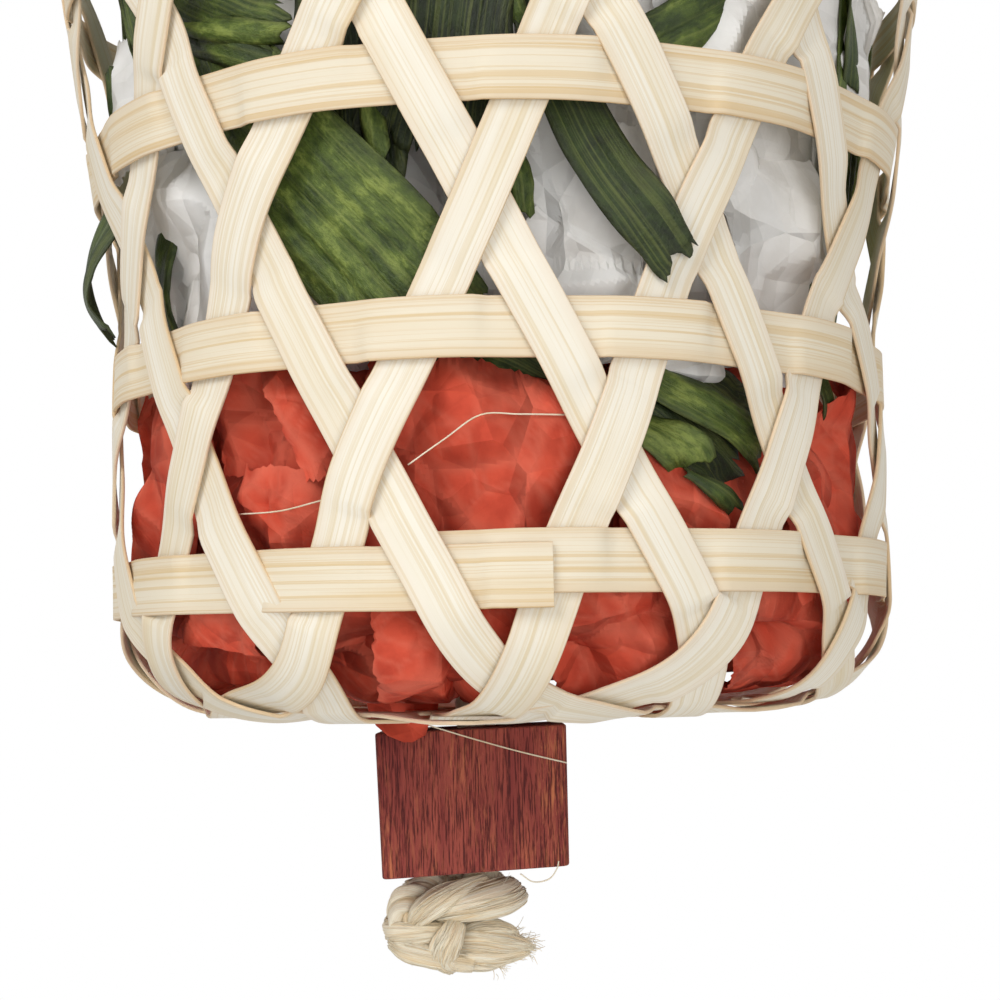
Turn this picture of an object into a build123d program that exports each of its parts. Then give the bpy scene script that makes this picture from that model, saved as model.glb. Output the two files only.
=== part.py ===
from build123d import *
from math import atan2, cos, degrees, hypot, pi, radians, sin, sqrt, tan
import os

# A hanging foraging toy for pet birds: an open bamboo-splint basket in three-way weave, flared like a
# torch, stuffed with tissue and dried leaf and strung on a sisal rope above a dyed wood block.
# Millimetres, +Z up. The origin is where the hanging link bears on the bar that carries it.
# "turn" is degrees round the basket from its front (-Y), positive towards +X.

# Hanging link and its sleeve nut
link_wire = 3.5
link_inner_width = 12.0
link_inner_length = 33.0
link_gap = 6.0
link_gap_drop = 12.0
nut_length = 11.0
nut_across_flats = 7.0
nut_clearance = 0.15

# Rope, its eye and its end knot
rope_diameter = 6.0
rope_seat_gap = 0.3
eye_knot_drop = 23.0
eye_knot_turn_radius = 5.0
eye_knot_tilt = 24.0
end_knot_turn_radius = 4.6
end_knot_tilt = 18.0
end_knot_side = 4.4
end_knot_gap = 0.4
tail_length = 12.0
tail_tip_diameter = 7.5
tail_dip = 6.0
knot_fit = 0.05
knot_nest = 0.4

# Basket
floor_drop = 215.0
basket_offset = 4.0
wall_radius = 54.0
corner_radius = 18.0
flare_start = 54.0
flare_angle = 8.5
splint_width = 6.8
splint_thickness = 0.6
weave_gap = 0.3
weave_turn = 13.0
floor_pitch = 26.0
directions = 6
hoop_width = 7.2
hoop_count = 4
hoop_pitch = 27.3
first_hoop_height = 19.5
hoop_lap_turns = (-10.0, 150.0, -120.0, 172.0)
hoop_end_trim = 1.0

# Rim
rim_height = 9.0
rim_thickness = 1.2
rim_gap = 0.45
tie_count = 12
tie_width = 2.5
tie_thickness = 0.6
tie_gap = 0.2

# Filling
bore_clearance = 2.0
lining_gap = 0.45
wad_gap = 0.4
wad_split_gap = 0.8
leaf_inset = 4.5
leaf_thickness = 0.5
leaf_width = 12.0
red_top = 40.0
white_top = 111.0
tuft_height = 38.0
tuft_shoulder = 27.0
tuft_hollow = 8.0
tuft_inset = 14.0
tuft_taper = 4.0
wad_count = 3

# How each tuft swells and sags from one section to the next: how far its side, its shoulder and its crown
# stand out from the sizes above
red_tuft_swells = ((-1.5, -1.0, -2.0), (2.0, 1.5, 2.0), (-1.0, -2.0, -3.0), (2.5, 1.0, 2.5),
                   (-1.5, -1.5, -1.5), (1.0, 0.5, 1.0))
white_tuft_swells = ((1.0, 1.0, 1.0), (-1.5, -1.5, -3.0), (2.5, 1.5, 2.0), (-1.0, -1.0, -2.0),
                     (2.0, 1.0, 2.5), (-1.0, -0.5, -1.5))

# Wood block
block_width = 25.0
block_height = 19.0
block_corner = 6.0
block_edge = 0.7
block_bore = 8.0
block_tilt = 2.5
block_gap = 0.3

# Sizes that follow from those above
strips_each_way = 2 * directions
step_turn = 360 / strips_each_way / 4
layer = (splint_thickness + weave_gap) / 2
link_radius = link_inner_width / 2 + link_wire / 2
swing_height = -link_inner_length - link_wire / 2
eye_radius = link_wire / 2 + rope_seat_gap + rope_diameter / 2
eye_knot_height = swing_height - eye_knot_drop
basket_axis = Pos(basket_offset, 0, -floor_drop)
floor_underside = -floor_drop - layer - splint_thickness / 2
block_rise = hypot(block_width, block_width) / 2 * sin(radians(block_tilt))
block_top = floor_underside - block_gap - block_rise
block_bottom = block_top - block_height
end_knot_reach = (end_knot_turn_radius + knot_nest) * sin(radians(end_knot_tilt)) + rope_diameter / 2
end_knot_height = block_bottom - block_rise - end_knot_gap - end_knot_reach
bore_radius = basket_offset + rope_diameter / 2 + bore_clearance
rim_level = 2 * hoop_count + 1
lining = layer + splint_thickness / 2 + lining_gap
wad_inset = leaf_inset + leaf_thickness / 2 + lining_gap


def profile(developed):
    """Radius, height and outward normal at a length along the basket's wall from its floor centre."""
    flat = wall_radius - corner_radius
    bend = corner_radius * pi / 2
    straight = flare_start - corner_radius
    if developed <= flat:
        return developed, 0.0, 0.0, -1.0
    developed -= flat
    if developed <= bend:
        angle = developed / corner_radius
        radius = flat + corner_radius * sin(angle)
        return radius, corner_radius * (1 - cos(angle)), sin(angle), -cos(angle)
    developed -= bend
    if developed <= straight:
        return wall_radius, corner_radius + developed, 1.0, 0.0
    developed -= straight
    lean = radians(flare_angle)
    radius = wall_radius + developed * sin(lean)
    return radius, flare_start + developed * cos(lean), cos(lean), -sin(lean)


def developed_at(height):
    """Length along the wall's profile up to a height on the wall above its corner."""
    base = wall_radius - corner_radius + corner_radius * pi / 2
    if height <= flare_start:
        return base + height - corner_radius
    return base + flare_start - corner_radius + (height - flare_start) / cos(radians(flare_angle))


def level_height(level):
    """Height of a weave level: odd levels are hoops, even ones the rows of crossings between them."""
    return first_hoop_height + hoop_pitch * (level - 1) / 2


def basket_place(developed, turn, inset=0.0):
    """Point inside the basket's middle surface by inset, with the outward normal there."""
    radius, height, out, up = profile(developed)
    radial = Vector(sin(radians(turn)), -cos(radians(turn)), 0)
    normal = radial * out + Vector(0, 0, up)
    point = Vector(basket_offset, 0, height - floor_drop) + radial * radius
    return point - normal * inset, normal


def section(centre, along, normal, width, thickness):
    """A rectangular slice of a splint."""
    side = normal.cross(along).normalized() * (width / 2)
    face = normal * (thickness / 2)
    corners = [centre + side + face, centre - side + face, centre - side - face, centre + side - face]
    return Wire.make_polygon(corners, close=True)


def around(turn):
    """Level direction round the basket, towards larger turns."""
    return Vector(cos(radians(turn)), sin(radians(turn)), 0)


def courses(places):
    """Direction of travel at each place, square to its normal."""
    found = []
    for index, (point, normal) in enumerate(places):
        run = places[min(index + 1, len(places) - 1)][0] - places[max(index - 1, 0)][0]
        found.append((run - normal * run.dot(normal)).normalized())
    return found


def woven(places, alongs, lifts, halves, width):
    """A splint that lies flat at each crossing, lifted out or in, and changes layer between them."""
    slices = []
    for (point, normal), along, lift, (before, after) in zip(places, alongs, lifts, halves):
        centre = point + normal * lift
        slices.append(section(centre - along * before, along, normal, width, splint_thickness))
        slices.append(section(centre + along * after, along, normal, width, splint_thickness))
    return Solid.make_loft(slices, ruled=True)


def flat_half(kind, along, normal):
    """Half the length that a long splint needs flat where it crosses another piece."""
    if kind == "floor":
        return splint_width / 2 / tan(pi / directions)
    meridian = Vector(0, 0, 1) - normal * normal.Z
    lean = along.get_angle(meridian)
    lean = radians(min(lean, 180 - lean))
    if kind == "row":
        return splint_width / 2 / tan(lean)
    if kind == "rim":
        return rim_height / 2 / cos(lean)
    return hoop_width / 2 / cos(lean) + splint_width / 2 * tan(lean)


def wall_kind(level):
    """What a long splint meets at a weave level of the wall."""
    if level == rim_level:
        return "rim"
    return "hoop" if level % 2 else "row"


def long_splint(direction, course):
    """One long splint: down one wall, straight across the floor and up the other wall."""
    heading = weave_turn + direction * 360 / directions
    offset = floor_pitch * (course + 0.5)
    crossings = 4 - course
    spacing = floor_pitch / sqrt(3)
    swing = (course + 0.5) * 360 / strips_each_way
    stops = []
    for level in range(rim_level, 0, -1):
        turn = heading + swing - step_turn * level
        stops.append((wall_kind(level), developed_at(level_height(level)), turn))
    for count in range(2 * crossings):
        across = (crossings - 0.5 - count) * spacing
        stops.append(("floor", hypot(across, offset), heading + degrees(atan2(offset, across))))
    for level in range(1, rim_level + 1):
        turn = heading + 180 - swing + step_turn * level
        stops.append((wall_kind(level), developed_at(level_height(level)), turn))
    places = [basket_place(developed, turn) for kind, developed, turn in stops]
    alongs = courses(places)
    lifts = [layer if index % 2 == 0 else -layer for index in range(len(stops))]
    lifts[0] = 0
    lifts[-1] = 0
    halves = []
    for (kind, developed, turn), (point, normal), along in zip(stops, places, alongs):
        half = flat_half(kind, along, normal)
        halves.append((half, half))
    return woven(places, alongs, lifts, halves, splint_width)


def wall_hoop(index):
    """A wall hoop: outside every rising splint, inside every falling one, its ends lapped under one."""
    level = 2 * index + 1
    developed = developed_at(level_height(level))
    pitch_turn = 360 / strips_each_way
    falling = weave_turn + pitch_turn / 2 - step_turn * level
    first = falling + pitch_turn * round((hoop_lap_turns[index] - falling) / pitch_turn)
    lean = atan2(radians(step_turn) * profile(developed)[0], hoop_pitch / 2)
    half = splint_width / 2 / cos(lean) + hoop_width / 2 * tan(lean)
    count = 2 * strips_each_way
    turns = [first + step * pitch_turn / 2 for step in range(count + 1)]
    lifts = [layer if step % 2 else -layer for step in range(count + 1)]
    lifts[0] -= splint_thickness + weave_gap
    halves = [(half, half)] * count + [(half, half - hoop_end_trim)]
    places = [basket_place(developed, turn) for turn in turns]
    return woven(places, [around(turn) for turn in turns], lifts, halves, hoop_width)


def rim_band(inner, outer):
    """A band round the mouth between two distances from the splints' middle surface."""
    radius, height, out, up = profile(developed_at(level_height(rim_level)))
    corners = []
    for distance, rise in ((inner, -0.5), (outer, -0.5), (outer, 0.5), (inner, 0.5)):
        along = rise * rim_height
        corners.append((radius + out * distance - up * along, height + up * distance + out * along))
    face = Plane.XZ * make_face(Polyline(*corners, close=True))
    return basket_axis * revolve(face, Axis.Z)


def rim_ties():
    """Cane ties that bind the two rim bands together between the splint ends."""
    reach = splint_thickness / 2 + rim_gap + rim_thickness + tie_gap
    tall = rim_height / 2 + tie_gap
    ties = []
    for count in range(tie_count):
        turn = weave_turn + count * 360 / tie_count
        point, normal = basket_place(developed_at(level_height(rim_level)), turn)
        outer = Rectangle(2 * (reach + tie_thickness), 2 * (tall + tie_thickness))
        loop = outer - Rectangle(2 * reach, 2 * tall)
        place = Plane(point, normal, around(turn))
        ties.append(extrude(place * loop, tie_width / 2, both=True).solid())
    return Compound(ties)


def wad(outline, count, index):
    """One of the wads that share a ring round the rope, each a plain sector of the ring."""
    share = 360 / count
    gap_turn = degrees(wad_split_gap / bore_radius)
    face = Plane.XZ * make_face(outline)
    turned = Rot(0, 0, index * share - 90 + gap_turn / 2)
    return basket_axis * turned * revolve(face, Axis.Z, revolution_arc=share - gap_turn)


def wall_at(height, inset):
    """Radius and height of a point that lies inset from the wall at a height on it."""
    radius, level, out, up = profile(developed_at(height))
    return radius - out * inset, level - up * inset


def red_outline():
    """Half section of the lower wads, which rest on the floor and fill the round corner."""
    flat = wall_radius - corner_radius
    bend = corner_radius - lining
    side = wall_radius - wad_inset
    rise = corner_radius - sqrt(bend ** 2 - (side - flat) ** 2)
    low = (bore_radius, lining)
    edge = (flat, lining)
    corner = RadiusArc(edge, (side, rise), -bend)
    return [Line(low, edge), corner, Polyline((side, rise), (side, red_top), (bore_radius, red_top), low)]


def white_outline():
    """Half section of the middle wads, which sit on the lower ones."""
    foot = red_top + wad_gap
    low = (bore_radius, foot)
    shoulder = wall_at(white_top, wad_inset)
    return Polyline(low, (wall_radius - wad_inset, foot), wall_at(flare_start, wad_inset), shoulder,
                    (bore_radius, shoulder[1]), close=True)


def tuft(swells, start, share):
    """A heap of gathered tissue that stands out of the mouth, over a share of the turn round the rope."""
    foot = wall_at(white_top, wad_inset)[1] + wad_gap
    broad = wall_at(white_top, tuft_inset)[0]
    middle = (bore_radius + broad) / 2
    gap_turn = degrees(wad_split_gap / bore_radius)
    step = (share - gap_turn) / (len(swells) - 1)
    sections = []
    for place, (side, shoulder, crown) in enumerate(swells):
        outline = Polyline((bore_radius, foot), (broad + side, foot),
                           (broad + side - tuft_taper, foot + tuft_shoulder + shoulder),
                           (middle, foot + tuft_height + crown),
                           (bore_radius, foot + tuft_height - tuft_hollow), close=True)
        turned = Rot(0, 0, start + gap_turn / 2 + place * step - 90)
        sections.append((basket_axis * turned * (Plane.XZ * outline)).wire())
    return Solid.make_loft(sections, ruled=True)


def leaf(top_turn, top_level, foot_turn, foot_level, breadth):
    """A pointed dried leaf blade pressed between the wads and the wall, its ends given as weave levels."""
    slices = []
    shape = ((0.0, 0.25), (0.15, 0.7), (0.4, 1.0), (0.7, 0.95), (0.9, 0.8), (1.0, 0.5))
    places = []
    for share, size in shape:
        level = top_level + (foot_level - top_level) * share
        turn = top_turn + (foot_turn - top_turn) * share
        places.append(basket_place(developed_at(level_height(level)), turn, leaf_inset))
    for (point, normal), along, (share, size) in zip(places, courses(places), shape):
        slices.append(section(point, along, normal, leaf_width * breadth * size, leaf_thickness))
    return Solid.make_loft(slices, ruled=True)


def link_body():
    """Bent wire link with a gap in one leg, which the sleeve nut bridges."""
    top = -link_inner_width / 2
    low = -link_inner_length + link_inner_width / 2
    gap_low = -link_gap_drop - link_gap / 2
    gap_high = -link_gap_drop + link_gap / 2
    x = link_radius
    path = Wire([
        Edge.make_line((x, 0, gap_low), (x, 0, low)),
        Edge.make_three_point_arc((x, 0, low), (0, 0, low - x), (-x, 0, low)),
        Edge.make_line((-x, 0, low), (-x, 0, top)),
        Edge.make_three_point_arc((-x, 0, top), (0, 0, top + x), (x, 0, top)),
        Edge.make_line((x, 0, top), (x, 0, gap_high)),
    ])
    return sweep(Plane((x, 0, gap_low), z_dir=(0, 0, -1)) * Circle(link_wire / 2), path)


def link_nut():
    """Six-sided sleeve nut on the link's open leg."""
    profile_face = RegularPolygon(nut_across_flats / 2, 6, major_radius=False)
    profile_face -= Circle(link_wire / 2 + nut_clearance)
    low = -link_gap_drop - nut_length / 2
    return Pos(link_radius, 0, low) * extrude(profile_face, nut_length)


def rope_run(low, high, radius):
    """A straight run of the rope between two heights."""
    return Pos(0, 0, low) * extrude(Circle(radius), high - low)


def rope_eye():
    """The eye that hangs on the link, with the overhand knot that closes it."""
    r = eye_radius
    low = eye_knot_height
    path = Wire([
        Edge.make_line((0, -r, low), (0, -r, swing_height)),
        Edge.make_three_point_arc((0, -r, swing_height), (0, 0, swing_height + r), (0, r, swing_height)),
        Edge.make_line((0, r, swing_height), (0, r, low)),
    ])
    eye = sweep(Plane((0, -r, low)) * Circle(rope_diameter / 2), path)
    for nest, tilt in ((0, eye_knot_tilt), (knot_nest, -eye_knot_tilt)):
        eye += Pos(0, 0, low) * Rot(0, tilt, 0) * Torus(eye_knot_turn_radius + nest, rope_diameter / 2)
    return eye - rope_run(2 * low, low, rope_diameter / 2 + knot_fit)


def end_knot():
    """The overhand knot under the block, with the frayed end that leaves it to the right."""
    centre = Pos(-end_knot_side, 0, end_knot_height)
    knot = centre * Cylinder(end_knot_turn_radius, rope_diameter)
    for nest, tilt in ((0, end_knot_tilt), (knot_nest, -end_knot_tilt)):
        knot += centre * Rot(0, tilt, 0) * Torus(end_knot_turn_radius + nest, rope_diameter / 2)
    tail = Pos(0, 0, tail_length / 2) * Cone(rope_diameter / 2, tail_tip_diameter / 2, tail_length)
    knot += centre * Pos(0, 0, -rope_diameter / 2) * Rot(0, 90 + tail_dip, 0) * tail
    return knot - rope_run(end_knot_height, block_top, rope_diameter / 2 + knot_fit)


def wood_block():
    """Dyed wood block, bored for the rope, with round corners and eased edges."""
    block = extrude(RectangleRounded(block_width, block_width, block_corner), block_height)
    ends = block.faces().sort_by(Axis.Z)
    block = fillet(ends[0].edges() + ends[-1].edges(), block_edge)
    block -= extrude(Circle(block_bore / 2), block_height)
    middle = Pos(0, 0, block_bottom + block_height / 2)
    return middle * Rot(0, -block_tilt, 0) * Pos(0, 0, -block_height / 2) * block


def save(shape, name):
    export_step(shape, f"parts/{name}.step")


os.makedirs("parts", exist_ok=True)
save(link_body(), "link_body")
save(link_nut(), "link_nut")
save(rope_eye(), "rope_eye")
save(end_knot(), "end_knot")
save(rope_run(end_knot_height, eye_knot_height, rope_diameter / 2), "rope")
save(wood_block(), "wood_block")
for direction in range(directions):
    save(long_splint(direction, 0), f"inner_splint_{direction + 1}")
    save(long_splint(direction, 1), f"outer_splint_{direction + 1}")
for index in range(hoop_count):
    save(wall_hoop(index), f"wall_hoop_{index + 1}")
rim_start = splint_thickness / 2 + rim_gap
save(rim_band(rim_start, rim_start + rim_thickness), "rim_outer")
save(rim_band(-rim_start - rim_thickness, -rim_start), "rim_inner")
save(rim_ties(), "rim_ties")
for index in range(wad_count):
    save(wad(red_outline(), wad_count, index), f"red_tissue_{index + 1}")
    save(wad(white_outline(), wad_count, index), f"white_tissue_{index + 1}")
save(tuft(red_tuft_swells, 0, 180), "red_tuft")
save(tuft(white_tuft_swells, 180, 180), "white_tuft")
leaves = (
    (-42, 10.6, -8, 2.6, 1.8),
    (-8, 9.8, 27, 3.2, 0.75),
    (24, 10.9, 33, 5.1, 1.1),
    (-66, 11.1, -61, 5.4, 1.0),
    (-57, 5.1, -55, 2.8, 0.35),
    (26, 2.9, 44, 1.5, 0.75),
    (66, 10.6, 60, 2.8, 1.0),
    (98, 11.0, 92, 3.1, 1.25),
    (128, 10.4, 134, 2.5, 1.0),
    (160, 11.1, 168, 3.4, 1.35),
    (196, 10.6, 200, 2.8, 1.1),
    (226, 11.0, 234, 2.5, 1.25),
    (262, 10.4, 260, 3.5, 1.0),
)
for index, sizes in enumerate(leaves):
    save(leaf(*sizes), f"leaf_{index + 1}")
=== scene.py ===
import math

import bpy
import numpy as np
from mathutils import Matrix, Vector


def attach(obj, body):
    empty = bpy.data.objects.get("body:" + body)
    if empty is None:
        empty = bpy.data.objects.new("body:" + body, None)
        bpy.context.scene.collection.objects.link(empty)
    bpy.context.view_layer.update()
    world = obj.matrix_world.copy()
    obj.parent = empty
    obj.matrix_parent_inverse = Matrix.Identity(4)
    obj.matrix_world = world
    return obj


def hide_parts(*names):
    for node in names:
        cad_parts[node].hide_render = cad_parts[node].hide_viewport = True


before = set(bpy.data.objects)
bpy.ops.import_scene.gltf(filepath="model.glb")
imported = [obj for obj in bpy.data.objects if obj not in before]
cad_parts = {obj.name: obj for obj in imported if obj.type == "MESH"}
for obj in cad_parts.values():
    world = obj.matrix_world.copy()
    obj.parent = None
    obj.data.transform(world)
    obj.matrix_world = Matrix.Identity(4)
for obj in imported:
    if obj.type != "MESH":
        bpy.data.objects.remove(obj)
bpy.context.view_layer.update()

# Long splints
# Twelve strips split from one bamboo culm, soaked and woven while wet. Each comes down one wall, runs
# straight across the floor and climbs the other wall, over and under at every crossing.
mm = 0.001
basket_axis_x = 4.0
floor_level = -215.0
wall_radius = 54.0
corner_radius = 14.0
flare_start = 54.0
flare_angle = math.radians(8.5)
weave_turn = 13.0
floor_pitch = 26.0
hoop_pitch = 27.3
first_hoop_height = 19.5
rim_level = 9
level_turn = 7.5
crossing_turn = 2 * level_turn
layer = 0.5
splint_thickness = 0.5
splint_width = 6.8
crossing_half = 4.3
crossing_skew = 2.1
side_rise = 2.2
corner_start = wall_radius - corner_radius
wall_start = corner_start + corner_radius * math.pi / 2
flare_begins = wall_start + flare_start - corner_radius


def developed_at(height):
    """Length along the wall from the middle of the floor up to a height on the wall."""
    return np.where(height < flare_start, wall_start + height - corner_radius,
                    flare_begins + (height - flare_start) / math.cos(flare_angle))


def level_height(level):
    """Height of a weave level: odd levels are hoops, even ones the rows of crossings between them."""
    return first_hoop_height + hoop_pitch * (level - 1) / 2


def on_wall(developed, turn, inset):
    """Points inside the basket's middle surface by inset, with the outward normals there. Turn is degrees
    round the basket from its front, positive to the right. The floor's edge rises a little at the sides."""
    developed, turn, inset = np.broadcast_arrays(*(np.asarray(v, float) for v in (developed, turn, inset)))
    bend = np.clip((developed - corner_start) / corner_radius, 0, math.pi / 2)
    flat = np.minimum(developed, corner_start)
    straight = np.clip(developed - wall_start, 0, flare_begins - wall_start)
    flared = np.maximum(developed - flare_begins, 0)
    radius = flat + corner_radius * np.sin(bend) + flared * math.sin(flare_angle)
    height = corner_radius * (1 - np.cos(bend)) + straight + flared * math.cos(flare_angle)
    lean = np.where(developed > flare_begins, flare_angle, 0)
    out = np.sin(bend) * np.cos(lean)
    up = -np.cos(bend) - np.sin(lean)
    east, north = np.sin(np.radians(turn)), -np.cos(np.radians(turn))
    normal = np.stack([east * out, north * out, up], -1)
    height = height + side_rise * (east * radius / wall_radius) ** 2 * np.exp(-height / 9)
    place = np.stack([basket_axis_x + east * radius, north * radius, floor_level + height], -1)
    return place - normal * inset[..., None], normal


# Hand weaving leaves each crossing a little off the even pattern. For the crossings at the front, by weave
# level and turn: how many degrees each has moved round, and how many millimetres up.
moved_crossings = {
    (0, -62): (5.0, 0.0), (0, -32): (5.3, -0.7), (0, -2): (2.0, -4.1), (0, 28): (0.4, 1.1),
    (0, 58): (-4.5, 1.5),
    (2, -47): (2.2, -0.3), (2, -17): (-0.1, -2.1), (2, 13): (1.1, -1.4), (2, 43): (-2.5, -1.2),
    (4, -62): (2.7, -0.5), (4, -32): (-1.8, 0.2), (4, -2): (0.2, 0.5), (4, 28): (-1.7, 0.4),
    (4, 58): (-3.0, -1.4),
    (6, -47): (1.8, 0.0), (6, -17): (0.9, 0.6), (6, 13): (-2.4, 1.0), (6, 43): (-3.0, 0.5),
}
hoop_moved = {1: -1.3, 3: -0.8, 5: 1.5}
turn_per_mm = level_turn / (hoop_pitch / 2)


def crossing_moved(level, turn):
    """How far a crossing of two long splints has moved round and up."""
    turn = (round(turn) + 180) % 360 - 180
    wander = math.radians(7 * turn + 50 * level)
    return moved_crossings.get((level, turn), (0.7 * math.sin(wander), 0.9 * math.cos(1.7 * wander)))


def splint_moved(level, turn, way):
    """How far a splint has moved where it crosses a level; way is 1 on the wall where it climbs to the
    right. Where it crosses a hoop it stays in line between the crossings below and above."""
    if level % 2 == 0:
        return crossing_moved(level, turn)
    raised = hoop_moved.get(level, 0)
    level_turns = []
    for step in (-1, 1):
        around, along = crossing_moved(level + step, turn + level_turn * way * step)
        level_turns.append(around - way * turn_per_mm * along)
    return sum(level_turns) / 2 + way * turn_per_mm * raised, raised


def smooth_through(stops, per):
    """A smooth line through the stops, with per samples from each to the next."""
    stops = np.asarray(stops, float)
    ends = np.vstack([2 * stops[0] - stops[1], stops, 2 * stops[-1] - stops[-2]])
    t = np.linspace(0, 1, per, endpoint=False)[:, None]
    runs = []
    for a, b, c, d in zip(ends, ends[1:], ends[2:], ends[3:]):
        runs.append(b + 0.5 * t * (c - a + t * (2 * a - 5 * b + 4 * c - d + t * (3 * (b - c) + d - a))))
    return np.vstack([*runs, stops[-1:]])


def length_along(points):
    """Length run up to each point of a line."""
    return np.concatenate([[0], np.cumsum(np.linalg.norm(np.diff(points, axis=0), axis=1))])


def unit(vectors):
    """The vectors at length one."""
    return vectors / np.maximum(np.linalg.norm(vectors, axis=-1, keepdims=True), 1e-9)


def weave_lift(run, per, lifts, skew):
    """How far one edge of a woven strip is lifted at each sample: level at the crossings, which it meets
    later or sooner than the middle by skew, and sloping between them."""
    stops = run[::per] + skew
    knots = np.maximum.accumulate(np.stack([stops - crossing_half, stops + crossing_half], 1).ravel())
    steps = np.repeat(np.arange(len(stops)), 2)
    place = np.interp(run, knots, steps)
    low = np.minimum(place.astype(int), len(stops) - 2)
    part = place - low
    lifts = np.asarray(lifts)
    return lifts[low] + (lifts[low + 1] - lifts[low]) * part * part * (3 - 2 * part)


def weave_through(middle, normal, per, lifts, first_skew):
    """A strip's middle line and normals, lifted and rolled so that it lies flat on what it crosses. The
    strips cross at about 60 degrees, one way and the other by turns."""
    run = length_along(middle)
    skew = first_skew * np.where(np.arange(len(lifts)) % 2 == 0, 1, -1)
    right = weave_lift(run, per, lifts, skew)
    left = weave_lift(run, per, lifts, -skew)
    side = np.cross(normal, unit(np.gradient(middle, axis=0)))
    roll = (right - left) / splint_width
    return middle + normal * ((right + left) / 2)[:, None], normal - side * roll[:, None]


strip_across = np.array([-1, -0.99, -0.965, -0.93, -0.5, 0, 0.5, 0.93, 0.965, 0.99, 1, 0.985, 0.93, 0,
                         -0.93, -0.985])
strip_rise = np.array([0, 0.7, 0.97, 1, 1, 1, 1, 1, 0.97, 0.7, 0, -0.75, -1, -1, -1, -0.75])


def square_to(along, facing):
    """The part of facing that is square to a line's course, at length one, and the direction across both."""
    outward = unit(facing - along * (facing * along).sum(-1, keepdims=True))
    return outward, np.cross(outward, along)


def ribbon(points, outward, width, thickness, closed=False):
    """A flat strip with eased edges: its points and faces, places along and across it, and nearness to an
    edge."""
    if closed:
        along = unit(np.roll(points, -1, axis=0) - np.roll(points, 1, axis=0))
    else:
        along = unit(np.gradient(points, axis=0))
    outward, side = square_to(along, outward)
    width = np.broadcast_to(width, len(points))
    across = strip_across * width[:, None] / 2
    rise = strip_rise * np.broadcast_to(thickness, len(points))[:, None] / 2
    corners = points[:, None] + side[:, None] * across[..., None] + outward[:, None] * rise[..., None]
    count, around = len(points), len(strip_across)
    grid = np.arange(count * around).reshape(count, around)
    following = np.roll(grid, -1, axis=0) if closed else grid[1:]
    here = grid if closed else grid[:-1]
    turned = np.roll(here, -1, axis=1)
    turned_next = np.roll(following, -1, axis=1)
    faces = np.stack([here, turned, turned_next, following], -1).reshape(-1, 4).tolist()
    if not closed:
        faces += [grid[0][::-1].tolist(), grid[-1].tolist()]
    run = np.repeat(length_along(points)[:, None], around, axis=1)
    grain = np.stack([run, across], -1).reshape(-1, 2)
    near_edge = np.tile(np.abs(strip_across) ** 16, count)
    return corners.reshape(-1, 3), faces, grain, near_edge


def add_piece(name, body, finish, points, faces, grain=None, **marks):
    """A mesh piece made in millimetres, riding on a body; marks are named values at its points."""
    mesh = bpy.data.meshes.new(name)
    mesh.from_pydata((np.asarray(points) * mm).tolist(), [], faces)
    mesh.validate()
    mesh.polygons.foreach_set("use_smooth", [True] * len(mesh.polygons))
    if grain is not None:
        corners = np.zeros(len(mesh.loops), int)
        mesh.loops.foreach_get("vertex_index", corners)
        mesh.uv_layers.new(name="grain").data.foreach_set("uv", np.asarray(grain)[corners].ravel())
    for mark, values in marks.items():
        mesh.attributes.new(mark, "FLOAT", "POINT").data.foreach_set("value", np.asarray(values, float))
    mesh.materials.append(finish)
    piece = bpy.data.objects.new(name, mesh)
    bpy.context.scene.collection.objects.link(piece)
    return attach(piece, body)


def linear(colour):
    """An sRGB hex colour as linear red, green, blue and alpha."""
    parts = [int(colour[i:i + 2], 16) / 255 for i in (1, 3, 5)]
    return [p / 12.92 if p <= 0.04045 else ((p + 0.055) / 1.055) ** 2.4 for p in parts] + [1.0]


def add(tree, kind, links=None, **settings):
    """One shader node with its settings; links gives its sockets a value or another node's output."""
    made = tree.nodes.new(kind)
    for setting, value in settings.items():
        setattr(made, setting, value)
    for socket, value in (links or {}).items():
        if isinstance(value, bpy.types.NodeSocket):
            tree.links.new(value, made.inputs[socket])
        else:
            made.inputs[socket].default_value = value
    return made


def start_finish(name, **sockets):
    """A new material, its node tree and its surface shader with the sockets that are the same all over."""
    made = bpy.data.materials.new(name)
    made.use_nodes = True
    shader = made.node_tree.nodes["Principled BSDF"]
    for socket, value in sockets.items():
        shader.inputs[socket.replace("_", " ")].default_value = value
    return made, made.node_tree, shader


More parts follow.
